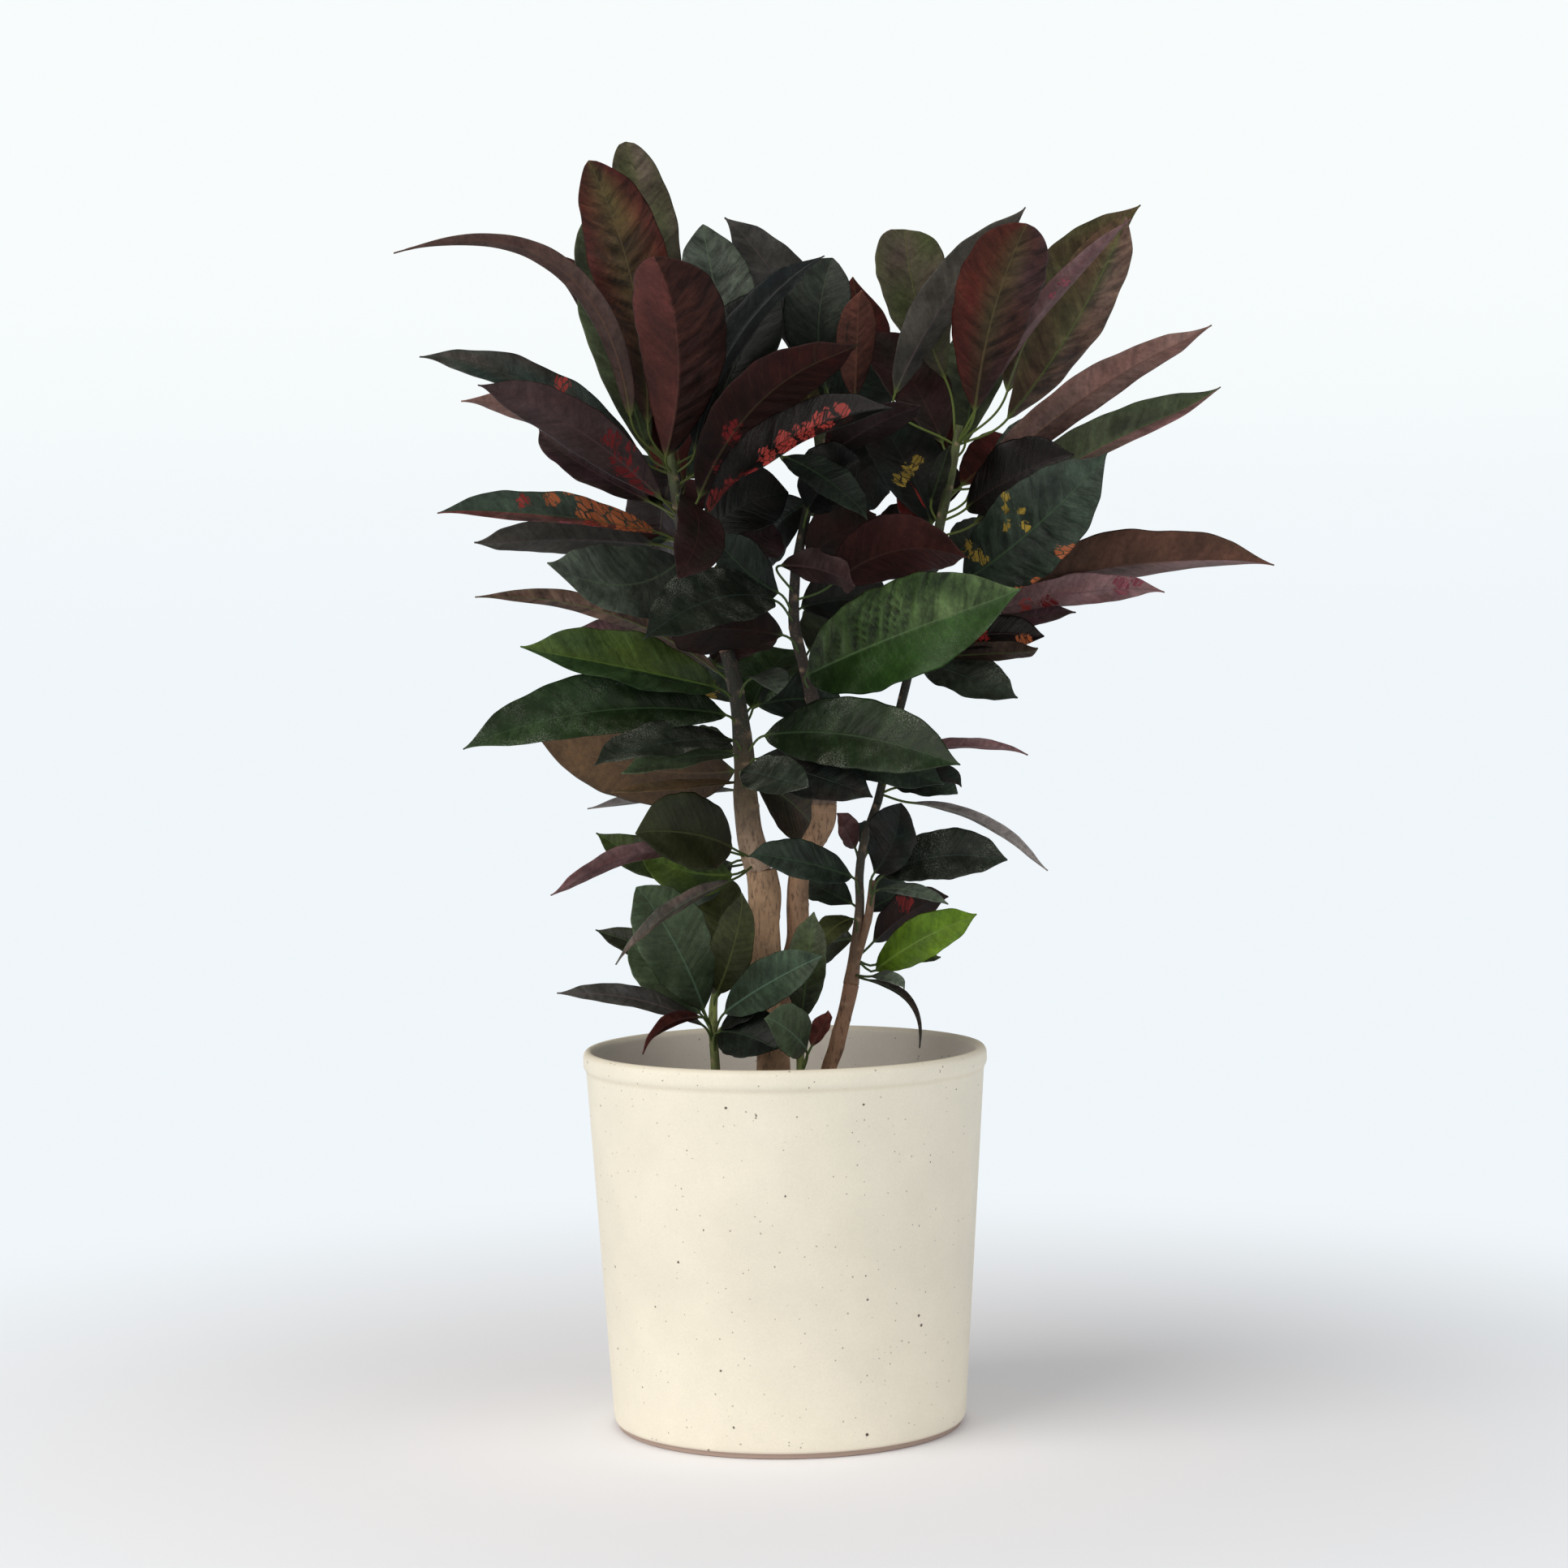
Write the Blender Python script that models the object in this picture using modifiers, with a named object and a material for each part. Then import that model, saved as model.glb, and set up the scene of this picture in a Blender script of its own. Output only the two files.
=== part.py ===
"""A croton of the kind Mrs Iceton, with upright patterned leaves, in a turned stoneware pot.

Metres, +Z up, with the origin at the centre of the pot's underside, +X to the right and +Y to the back.
The stems and leaves are laid out as they are seen from the front, so their tables hold millimetres across (x)
and up (z) in the upright plane through the pot's axis, with the depth (y, plus is to the back) beside them.
placed() moves such a point to its own depth along the line of sight.
"""
import math

import bmesh
import bpy
import numpy as np

MM = 0.001
WELD = 0.00001

# Pot
POT_HEIGHT = 0.196
POT_LIP_RADIUS = 0.105
POT_BASE_RADIUS = 0.0917
POT_WALL = 0.0055
POT_FLOOR = 0.009
LIP_BAND = 0.0105
LIP_STEP = 0.0008
LIP_FLAT = 0.0012
LIP_ROUND = 0.0021
FLOOR_CORNER = 0.004
EDGE_BREAK = 0.0015
FOOT_HEIGHT = 0.0025
FOOT_INSET = 0.002
ROUND_SIDES = 36

# Soil
SOIL_TOP = 0.160
SOIL_GAP = 0.0004
SOIL_RELIEF = 0.0022
SOIL_RINGS = 5
SOIL_CORNER = 0.006
HOLE_DEPTH = 0.050
HOLE_GAP = 0.0004
HOLE_GROWTH = 1.03
HOLE_SIDES = 16
CUTTER_LENGTH = 0.12

# View from which the stems and leaves are laid out
VIEW_DISTANCE = 1.850
VIEW_HEIGHT = 0.409
VIEW_X = 0.0016

# Stems and leaves
SEAT_GAP = 0.0003
JOINT_RUN = 0.0025
STEM_STEP = 0.016
BLADE_THICKNESS = 0.0008
PETIOLE_WIDTH = 0.0026
PETIOLE_THICKNESS = 0.0022
ROOT_DROP = 0.004
ROOT_MARGIN = 0.005
FOLD_DEGREES = 14
DROOP = 0.05
EDGE_WAVE = 0.048
WAVE_STEP = 2.3
TIP_WIDTH = 0.0016
HANDLE_REACH = 0.75
POINTED_RISE = 0.75
POINTED_FALL = 0.80
BLUNT_RISE = 0.90
BLUNT_FALL = 0.38
LONG_BLADE = 0.106
SHORT_BLADE = 0.058

# Each stem: points (x, y, z, radius) in mm, from the bottom up
TRUNK_LEFT_ARM = [(-6, 0, 110, 8.5), (-6, 0, 172, 8.5), (-7, 0, 200, 8.4), (-9, 0, 228, 8.0),
                  (-10, 0, 255, 8.6), (-9.5, 0, 276, 8.4), (-11, 0, 288, 7.8)]
TRUNK_RIGHT_ARM = [(-4, 1, 200, 6.5), (2, 2, 232, 6.0), (7, 4, 252, 5.6), (8.5, 5, 284, 5.6),
                   (15, 6, 300, 5.8), (21.5, 7, 312, 6.2), (22.5, 8, 322, 6.4)]
TRUNK_SLIM = [(21, -2, 110, 4.2), (21, -2, 172, 4.2), (27, -2, 196, 4.0), (31.5, -1, 213, 3.8),
              (35, 0, 228, 4.0)]
STEM_WHORL_LEFT = [(-11, 0, 288, 7.8), (-15, 0, 301, 7.2), (-18, 0, 320, 6.6), (-19, 0, 345, 5.4),
                   (-20.5, 0, 365, 4.6), (-23, 0, 385, 4.2), (-27, 0, 402, 3.6)]
STEM_CROWN_LEFT = [(-27, 0, 402, 3.6), (-35, 0, 420, 3.3), (-43, 0, 445, 3.2), (-50, 0, 470, 3.0),
                   (-53, 0, 490, 2.8), (-55, 0, 508, 2.2)]
STEM_SPRAY = [(22.5, 8, 322, 6.4), (22, 8, 350, 4.4), (15, 8, 385, 3.2), (9, 8, 410, 3.0), (8, 8, 425, 2.8),
              (9, 11, 442, 2.6)]
STEM_CROWN_BACK = [(9, 11, 442, 2.6), (13, 16, 462, 2.5), (20, 21, 495, 2.4), (27, 23, 532, 2.2)]
STEM_WHORL_RIGHT = [(35, 0, 228, 4.0), (37, 0, 242, 3.2), (40, 0, 268, 2.4), (40, 0, 285, 2.2),
                    (43, 0, 303, 2.2), (50, 0, 322, 2.2)]
TWIG_WHORL_RIGHT = [(36, 0, 236, 2.6), (40, -1, 248, 2.4), (44.5, -2, 264, 2.2), (47, -2, 282, 1.8)]
STEM_CROWN_RIGHT = [(50, 0, 322, 2.2), (62, 7, 370, 2.2), (75, 7, 420, 2.4), (84, 0, 465, 2.6),
                    (90, -2, 490, 2.5), (95, -2, 517, 2.1)]
STEM_SHOOT_LEFT = [(-36, -5, 110, 2.4), (-36, -5, 172, 2.4), (-37, -5, 200, 2.4), (-37, -5, 216, 2.2),
                   (-36, -5, 224, 1.8)]
STEM_SHOOT_MIDDLE = [(8, -26, 110, 2.2), (8, -26, 172, 2.2), (8, -27, 195, 2.0), (8, -28, 208, 1.8)]

# Each leaf: where its blade starts (x, z), its tip (x, z), the tip's depth y, its width, how far its middle
# bows upward, how far its face turns to the viewer in degrees (90 shows the whole upper face, 0 only the
# edge with the upper face up, -90 the whole underside), and how blunt its end is, from 0 to 1.
LEAVES_CROWN_LEFT = [
    (-75, 524, -196, 613, -35, 15, 41, -50, 0.0),     # long arching leaf, far left
    (-60, 520, -75, 665, 62, 33, 6, 75, 0.8),         # topmost, behind
    (-66, 520, -94, 656, -8, 43, 8, -75, 0.6),        # tall pleated one
    (-57, 503, -61, 606, -85, 52, 9, -80, 0.6),       # broad front leaf
    (-66, 505, -92, 632, 48, 36, -4, 70, 0.4),
    (-68, 518, -119, 612, 84, 26, 10, -60, 0.0),
    (-70, 502, -183, 557, 18, 26, 11, 50, 0.0),
    (-60, 482, -153, 542, -66, 28, 7, -70, 0.0),
    (-66, 486, -162, 534, -26, 24, 11, -50, 0.0),
    (-66, 480, -124, 517, 62, 24, -2, 60, 0.0),
    (-62, 464, -176, 477, -60, 28, 3, 40, 0.0),       # netted orange one
    (-64, 458, -157, 459, -15, 28, 3, -45, 0.0),
    (-50, 450, -119, 448, -98, 44, -12, 65, 0.2),
    (-50, 483, -52, 440, -118, 30, 10, 50, 0.3),      # points at the viewer
    (-40, 482, 45, 558, -72, 36, 15, -60, 0.0),
    (-38, 470, 62, 527, -100, 36, 13, 40, 0.0),       # red streaked one
    (-28, 520, -37, 622, 16, 42, 4, 75, 0.4),
    (-42, 505, 26, 606, -24, 24, 13, 45, 0.0),
    (-38, 500, 2, 590, 2, 46, 4, 65, 0.3),
    (-58, 500, -78, 566, 128, 40, 5, 60, 0.3),        # the rest fill the far side
    (-54, 504, -56, 590, 112, 38, 3, 60, 0.2),
    (-48, 490, -42, 536, 142, 40, 6, 50, 0.3),
    (-60, 478, -104, 500, 128, 38, 7, 40, 0.2),
    (-44, 472, -24, 484, 128, 36, 6, 40, 0.2),
    (-56, 460, -86, 454, 130, 36, 4, 40, 0.2),
    (-51, 500, -59, 448, 66, 42, 4, 60, 0.4),
    (-36, 464, 6, 484, 8, 42, 4, 60, 0.3),
    (-30, 448, 2, 462, 34, 38, 4, 60, 0.3),
    (-46, 492, 14, 520, 60, 42, 4, 60, 0.2),
]
LEAVES_CROWN_BACK = [
    (25, 540, -24, 626, 26, 36, 6, 65, 0.0),
    (27, 536, 31, 604, 0, 38, 6, 70, 0.6),
    (41, 532, 44, 587, -14, 23, 0, -65, 0.3),
    (38, 532, 40, 594, 72, 42, -6, -70, 0.2),
    (22, 522, 10, 549, 6, 14, 0, 60, 0.0),
    (26, 502, 76, 527, -44, 24, 3, -50, 0.0),
    (4, 502, 48, 470, -44, 22, 3, 60, 0.0),
    (16, 450, 52, 470, 6, 34, 3, -65, 0.2),
    (30, 530, 46, 574, 136, 40, 5, 60, 0.3),          # the rest fill the far side
    (20, 514, 2, 552, 142, 38, 5, 60, 0.3),
    (28, 504, 44, 512, 138, 38, 6, 40, 0.3),
    (16, 478, -6, 450, 76, 38, 6, 60, 0.3),
    (26, 534, 14, 598, 104, 36, 4, 70, 0.3),
    (18, 472, 42, 462, 136, 36, 6, 40, 0.2),
    (24, 494, 58, 482, 40, 44, 4, 60, 0.2),
    (22, 520, 66, 544, 48, 42, 4, 60, 0.2),
    (16, 474, 44, 500, -10, 38, 4, 60, 0.3),
]
LEAVES_CROWN_RIGHT = [
    (88, 541, 68, 618, 28, 40, -4, 75, 0.9),
    (62, 534, 132, 627, -8, 30, 7, -55, 0.0),
    (103, 524, 131, 620, -84, 44, 4, -80, 0.7),       # broad front leaf
    (104, 526, 185, 622, -60, 13, 6, -50, 0.0),
    (120, 534, 191, 628, 40, 34, 11, 60, 0.0),
    (120, 520, 183, 624, -18, 38, -5, -70, 0.4),
    (98, 478, 227, 565, -64, 24, 9, -60, 0.0),
    (102, 466, 232, 531, -22, 31, 5, 48, 0.0),
    (98, 474, 154, 502, -46, 38, 3, 55, 0.0),
    (110, 490, 153, 523, 74, 20, 5, 60, 0.0),
    (96, 436, 172, 501, -92, 47, -3, 75, 0.0),        # large yellow-spotted one
    (106, 428, 257, 444, -24, 36, 8, -55, 0.0),       # furthest right
    (106, 420, 200, 431, -10, 22, 4, -50, 0.0),
    (98, 406, 154, 420, 8, 15, 3, 50, 0.0),
    (86, 402, 137, 406, -32, 22, 5, 50, 0.3),
    (84, 398, 135, 400, -48, 14, 0, -50, 0.3),
    (72, 396, 123, 375, -26, 30, 1, 50, 0.0),
    (80, 478, 90, 507, -16, 12, 0, 60, 0.0),
    (76, 458, 62, 492, 14, 16, 0, -60, 0.0),
    (80, 466, 50, 524, 36, 42, 3, 65, 0.2),
    (86, 508, 50, 566, 34, 38, 4, 60, 0.2),
    (70, 350, 128, 347, -20, 10, 3, -40, 0.0),
    (64, 338, 95, 331, -38, 16, 3, 40, 0.0),
    (60, 330, 92, 327, -14, 22, 2, 40, 0.3),
    (68, 322, 137, 285, 16, 10, 8, -40, 0.0),
    (98, 508, 118, 580, 122, 40, 4, 60, 0.3),         # the rest fill the far side
    (92, 496, 88, 548, 140, 38, 5, 50, 0.2),
    (96, 486, 146, 504, 120, 38, 7, 40, 0.2),
    (84, 474, 68, 500, 130, 36, 5, 50, 0.2),
    (88, 450, 128, 450, 126, 38, 6, 40, 0.2),
    (80, 440, 66, 446, 134, 36, 6, 40, 0.2),
    (76, 426, 98, 404, 116, 34, 6, 40, 0.2),
    (82, 462, 54, 448, 64, 42, 4, 60, 0.3),
    (65, 400, 38, 386, 18, 26, 4, 50, 0.2),
]
LEAVES_WHORL_LEFT = [
    (-32, 383, -134, 405, -46, 40, 1, 50, 0.0),       # bright green one
    (-28, 369, -165, 354, -74, 40, 10, 60, 0.0),
    (-25, 356, -98, 345, -90, 30, 4, 35, 0.0),
    (-24, 348, -82, 339, -34, 22, 3, 30, 0.2),
    (-24, 340, -128, 361, 76, 44, -8, -75, 0.2),
    (-24, 334, -88, 330, -14, 14, 0, 20, 0.0),
    (-24, 330, -100, 321, 112, 12, 2, -40, 0.0),
    (-30, 390, -157, 432, 0, 16, 13, -45, 0.0),
    (-40, 398, -105, 415, 28, 24, 2, -60, 0.0),
    (-34, 396, -2, 418, 34, 36, 3, 60, 0.3),
    (-14, 388, 0, 380, -58, 20, 4, 40, 0.3),
    (-8, 358, 93, 341, -94, 40, 7, 68, 0.1),
    (-20, 340, 14, 331, -106, 24, 1, 58, 0.6),
    (-26, 300, -76, 309, -66, 42, 4, 70, 0.3),
    (-26, 286, -74, 299, -12, 32, -4, 60, 0.1),
    (-40, 300, -120, 275, -50, 14, 8, -50, 0.0),
    (-30, 290, -96, 309, 28, 24, -6, 62, 0.0),
    (-27, 283, -87, 241, -98, 13, 5, -40, 0.0),
    (-26, 292, -58, 272, 8, 26, 0, 60, 0.2),
    (-22, 390, -26, 410, 130, 36, 6, 40, 0.2),        # the rest fill the far side
    (-24, 376, -58, 386, 128, 38, 6, 40, 0.2),
    (-14, 372, 8, 402, 56, 36, 4, 60, 0.2),
    (-24, 350, -50, 338, 122, 34, 6, 40, 0.2),
    (-14, 336, 20, 304, 60, 40, 4, 60, 0.2),
    (-12, 374, 34, 372, 58, 38, 4, 60, 0.3),
    (-12, 346, 48, 326, -64, 32, 1, 58, 0.1),
]
LEAVES_SPRAY = [
    (14, 389, 126, 431, -108, 55, 2, 72, 0.1),        # big green front leaf
    (-2, 428, -70, 409, -104, 38, 9, 60, 0.0),
    (0, 432, -33, 463, -30, 30, -3, 60, 0.2),
    (28, 436, 98, 448, -50, 40, 11, -60, 0.0),
    (2, 446, 40, 434, -60, 22, 4, -50, 0.2),
    (16, 402, 42, 412, 128, 38, 6, 40, 0.2),          # the rest fill the far side
    (24, 348, 84, 331, -40, 30, 3, 55, 0.1),
    (2, 410, -56, 410, -64, 34, 4, -60, 0.1),
    (12, 424, 58, 424, 34, 42, 4, 60, 0.3),
]
LEAVES_WHORL_RIGHT = [
    (48, 235, 101, 263, -28, 24, 3, 65, 0.1),         # yellow-green one
    (44, 230, 70, 194, -25, 8, 10, -30, 0.0),
    (46, 232, 64, 226, -40, 9, 2, 40, 0.0),
    (48, 238, 82, 240, 12, 14, 3, 40, 0.0),
    (50, 277, 86, 269, -42, 10, 3, 40, 0.0),
    (47, 250, 86, 274, 22, 24, 3, -60, 0.1),
    (52, 284, 117, 291, -36, 29, 7, 62, 0.2),
    (48, 286, 62, 322, -28, 30, -3, 60, 0.5),
    (36, 284, -18, 297, -42, 24, 2, 55, 0.0),
    (36, 270, 12, 283, 38, 20, 0, 60, 0.3),
    (38, 299, 30, 318, 26, 14, 0, -60, 0.2),
    (36, 262, 18, 246, -24, 17, 3, 50, 0.0),
    (45, 266, 72, 272, 92, 30, 5, 40, 0.2),           # the rest fill the far side
    (36, 252, 18, 244, 60, 24, 3, 50, 0.2),
    (44, 296, 58, 304, 86, 28, 5, 40, 0.2),
]
LEAVES_SHOOT_LEFT = [
    (-42, 216, -75, 281, -34, 40, 3, 70, 0.5),
    (-44, 214, -80, 252, 6, 30, 0, 60, 0.2),
    (-43, 208, -118, 225, -46, 16, 6, 40, 0.0),
    (-44, 212, -74, 193, -52, 12, 6, -40, 0.0),
    (-35, 224, -20, 276, -32, 24, -2, 70, 0.2),
    (-35, 222, -30, 286, 30, 34, 0, 60, 0.3),
    (-31, 214, 20, 243, -62, 26, 2, 65, 0.3),
    (-33, 206, -8, 217, -34, 14, 2, 40, 0.2),
    (-34, 204, -4, 194, -42, 32, 3, 60, 0.2),
    (-43, 216, -98, 257, 24, 20, 9, 60, 0.0),
]
LEAVES_SHOOT_MIDDLE = [
    (11, 194, -10, 212, -60, 28, 2, 55, 0.2),
    (9, 210, 16, 266, -38, 23, 0, 70, 0.2),
    (14, 196, 24, 214, -32, 12, 0, -60, 0.0),
]

COLOURS = {
    "pot": ((0.82, 0.78, 0.68), 0.55),
    "potting_soil": ((0.045, 0.030, 0.022), 0.95),
    "trunk_main": ((0.27, 0.18, 0.13), 0.80),
    "trunk_slim": ((0.27, 0.18, 0.13), 0.80),
    "crown_left": ((0.045, 0.018, 0.022), 0.42),
    "crown_back": ((0.025, 0.030, 0.026), 0.42),
    "crown_right": ((0.050, 0.022, 0.022), 0.42),
    "whorl_left": ((0.020, 0.050, 0.020), 0.45),
    "whorl_right": ((0.024, 0.060, 0.024), 0.45),
    "spray_middle": ((0.020, 0.060, 0.020), 0.45),
    "shoot_left": ((0.022, 0.055, 0.036), 0.45),
    "shoot_middle": ((0.026, 0.060, 0.032), 0.45),
}


def clear_scene():
    """Removes every object that the scene holds."""
    for existing in list(bpy.data.objects):
        bpy.data.objects.remove(existing)


def new_collection(name):
    """Adds a collection of that name under the scene's own."""
    collection = bpy.data.collections.new(name)
    bpy.context.scene.collection.children.link(collection)
    return collection


def new_material(name):
    """A Principled material with the node's colour and roughness."""
    colour, roughness = COLOURS[name]
    material = bpy.data.materials.new(name)
    material.use_nodes = True
    shader = material.node_tree.nodes["Principled BSDF"]
    shader.inputs["Base Color"].default_value = (*colour, 1.0)
    shader.inputs["Roughness"].default_value = roughness
    shader.inputs["Metallic"].default_value = 0.0
    return material


def add_mesh(name, vertices, faces, collection):
    """A mesh object from vertices in metres and faces, its faces turned outward."""
    mesh = bpy.data.meshes.new(name)
    mesh.from_pydata([tuple(v) for v in vertices], [], [tuple(f) for f in faces])
    mesh.validate()
    work = bmesh.new()
    work.from_mesh(mesh)
    bmesh.ops.recalc_face_normals(work, faces=work.faces)
    work.to_mesh(mesh)
    work.free()
    thing = bpy.data.objects.new(name, mesh)
    collection.objects.link(thing)
    return thing


def evaluated_mesh(thing):
    """The object's mesh with its modifiers, or a curve's tube, with touching points welded."""
    bpy.context.view_layer.update()
    graph = bpy.context.evaluated_depsgraph_get()
    mesh = bpy.data.meshes.new_from_object(thing.evaluated_get(graph))
    work = bmesh.new()
    work.from_mesh(mesh)
    bmesh.ops.remove_doubles(work, verts=work.verts, dist=WELD)
    bmesh.ops.recalc_face_normals(work, faces=work.faces)
    work.to_mesh(mesh)
    work.free()
    return mesh


def turned(name, profile, collection):
    """A solid turned about Z from a profile of (radius, height) that runs down its outer side."""
    mesh = bpy.data.meshes.new(name)
    points = [(radius, 0.0, height) for radius, height in profile]
    mesh.from_pydata(points, [(i, i + 1) for i in range(len(points) - 1)], [])
    thing = bpy.data.objects.new(name, mesh)
    collection.objects.link(thing)
    screw = thing.modifiers.new("Turn", "SCREW")
    screw.axis = "Z"
    screw.steps = ROUND_SIDES
    screw.render_steps = ROUND_SIDES
    screw.use_merge_vertices = True
    screw.merge_threshold = WELD
    return thing


def pot_inner_radius(height):
    """The inner wall's radius: the outer taper less the wall."""
    share = height / POT_HEIGHT
    return POT_BASE_RADIUS + (POT_LIP_RADIUS - LIP_STEP - POT_BASE_RADIUS) * share - POT_WALL


def make_pot(collection):
    """Straight tapered wall, a rounded lip band with a soft crease under it, and a recessed foot line."""
    crease = POT_HEIGHT - LIP_BAND
    foot_radius = POT_BASE_RADIUS - FOOT_INSET
    lip_middle = POT_LIP_RADIUS - POT_WALL / 2
    profile = [
        (0.0, POT_FLOOR),
        (pot_inner_radius(POT_FLOOR) - FLOOR_CORNER - EDGE_BREAK, POT_FLOOR),
        (pot_inner_radius(POT_FLOOR + FLOOR_CORNER), POT_FLOOR + FLOOR_CORNER),
        (pot_inner_radius(crease), crease),
        (POT_LIP_RADIUS - POT_WALL, POT_HEIGHT - LIP_ROUND),
        (lip_middle - LIP_FLAT, POT_HEIGHT),
        (lip_middle + LIP_FLAT, POT_HEIGHT),
        (POT_LIP_RADIUS, POT_HEIGHT - LIP_ROUND),
        (POT_LIP_RADIUS, crease + EDGE_BREAK),
        (POT_LIP_RADIUS - 2 * LIP_STEP, crease),
        (POT_BASE_RADIUS, FOOT_HEIGHT + EDGE_BREAK),
        (POT_BASE_RADIUS - LIP_STEP, FOOT_HEIGHT),
        (foot_radius, FOOT_HEIGHT),
        (foot_radius, 0.0),
        (0.0, 0.0),
    ]
    pot = turned("pot", profile, collection)
    return pot


def soil_relief(x, y):
    """Low lumps of potting mix: three crossed waves and a slight mound in the middle."""
    waves = math.sin(210 * x + 1.3) * math.cos(170 * y) + 0.7 * math.sin(390 * y - 260 * x)
    waves += 0.5 * math.cos(520 * x + 480 * y)
    mound = 1.0 - (math.hypot(x, y) / POT_BASE_RADIUS) ** 2
    return SOIL_RELIEF * (0.45 * waves + 0.8 * mound)


def make_soil(collection, cutters, stems):
    """A plug of potting mix that fills the pot, lumpy on top, with a plain blind hole for each stem."""
    floor = POT_FLOOR + SOIL_GAP
    top_radius = pot_inner_radius(SOIL_TOP) - SOIL_GAP
    profile = [(top_radius * i / SOIL_RINGS, SOIL_TOP) for i in range(SOIL_RINGS + 1)]
    profile.append((pot_inner_radius(floor + SOIL_CORNER) - SOIL_GAP, floor + SOIL_CORNER))
    profile.append((pot_inner_radius(floor) - SOIL_CORNER - EDGE_BREAK, floor))
    profile.append((0.0, floor))
    blank = turned("soil_blank", profile, collection)
    mesh = evaluated_mesh(blank)
    bpy.data.objects.remove(blank)
    for vertex in mesh.vertices:
        radius = math.hypot(vertex.co.x, vertex.co.y)
        if vertex.co.z > SOIL_TOP - 0.001 and radius < top_radius - 0.001:
            vertex.co.z += soil_relief(vertex.co.x, vertex.co.y)
    soil = bpy.data.objects.new("potting_soil", mesh)
    collection.objects.link(soil)
    for index, stem in enumerate(stems):
        x, y, _, radius = stem[0]
        base = placed(x, y, stem[0][2])
        bottom = SOIL_TOP - HOLE_DEPTH - SEAT_GAP
        bpy.ops.mesh.primitive_cylinder_add(vertices=HOLE_SIDES, radius=radius * MM * HOLE_GROWTH + HOLE_GAP,
                                            depth=CUTTER_LENGTH,
                                            location=(base[0], base[1], bottom + CUTTER_LENGTH / 2))
        cutter = bpy.context.object
        cutter.name = f"cut_hole_{index}"
        for holder in list(cutter.users_collection):
            holder.objects.unlink(cutter)
        cutters.objects.link(cutter)
        cutter.hide_render = True
        cutter.display_type = "WIRE"
        cut = soil.modifiers.new(f"Hole {index}", "BOOLEAN")
        cut.operation = "DIFFERENCE"
        cut.object = cutter
    return soil


def placed(x, y, z):
    """A point seen at (x, z) in the plane of the pot's axis, moved to depth y along the line of sight."""
    depth = y * MM
    scale = (VIEW_DISTANCE + depth) / VIEW_DISTANCE
    across = VIEW_X + (x * MM - VIEW_X) * scale
    up = VIEW_HEIGHT + (z * MM - VIEW_HEIGHT) * scale
    return np.array([across, depth, up])


def stem_path(points):
    """A smooth path through the stem's points, with its radii: Catmull-Rom, read every STEM_STEP."""
    knots = np.array([placed(x, y, z) for x, y, z, _ in points])
    radii = np.array([radius * MM for *_, radius in points])
    padded = np.vstack([2 * knots[0] - knots[1], knots, 2 * knots[-1] - knots[-2]])
    path = [knots[0]]
    widths = [radii[0]]
    for i in range(len(knots) - 1):
        a, b, c, d = padded[i:i + 4]
        count = max(1, round(np.linalg.norm(c - b) / STEM_STEP))
        for k in range(1, count + 1):
            t = k / count
            point = 0.5 * (2 * b + (c - a) * t + (2 * a - 5 * b + 4 * c - d) * t ** 2
                           + (3 * b - a - 3 * c + d) * t ** 3)
            path.append(point)
            widths.append(radii[i] + (radii[i + 1] - radii[i]) * t)
    return np.array(path), np.array(widths)


def add_stem(name, points, collection, seat=0.0):
    """A tapering tube along the stem, upright at both ends, its lower end lifted by the seat gap."""
    path, widths = stem_path(points)
    upright = np.array([0.0, 0.0, JOINT_RUN])
    path = np.vstack([path[0], path[0] + upright, path[1:-1], path[-1] - upright, path[-1]])
    widths = np.concatenate([widths[:1], widths[:1], widths[1:-1], widths[-1:], widths[-1:]])
    path[0][2] += seat
    curve = bpy.data.curves.new(name, "CURVE")
    curve.dimensions = "3D"
    curve.bevel_depth = 1.0
    curve.bevel_resolution = 1
    curve.use_fill_caps = True
    spline = curve.splines.new("POLY")
    spline.points.add(len(path) - 1)
    for point, place, width in zip(spline.points, path, widths):
        point.co = (*place, 1.0)
        point.radius = width
    tube = bpy.data.objects.new(name + "_curve", curve)
    collection.objects.link(tube)
    mesh = evaluated_mesh(tube)
    stem = bpy.data.objects.new(name, mesh)
    stem.matrix_world = tube.matrix_world
    collection.objects.link(stem)
    bpy.data.objects.remove(tube)
    return stem


def unit(vector):
    """The vector at length 1."""
    return vector / np.linalg.norm(vector)


def leaf_root(paths, base):
    """The point on a stem's centre line where the leaf's stalk starts, just below the leaf's nearest point.

    It stays clear of both ends of the shoot's stems by the root margin.
    """
    best = None
    for path in paths:
        runs = np.linalg.norm(np.diff(path, axis=0), axis=1)
        reached = np.concatenate([[0.0], np.cumsum(runs)])
        for start, end, before in zip(path[:-1], path[1:], reached):
            run = end - start
            length = np.linalg.norm(run)
            share = np.clip((base - start) @ run / length ** 2, 0, 1)
            gap = np.linalg.norm((base - start - share * run)[[0, 2]])
            if best is None or gap < best[0]:
                best = (gap, path, reached, before + share * length)
    _, path, reached, distance = best
    distance = np.clip(distance - ROOT_DROP, ROOT_MARGIN, reached[-1] - ROOT_MARGIN)
    return np.array([np.interp(distance, reached, path[:, axis]) for axis in range(3)])


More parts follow.
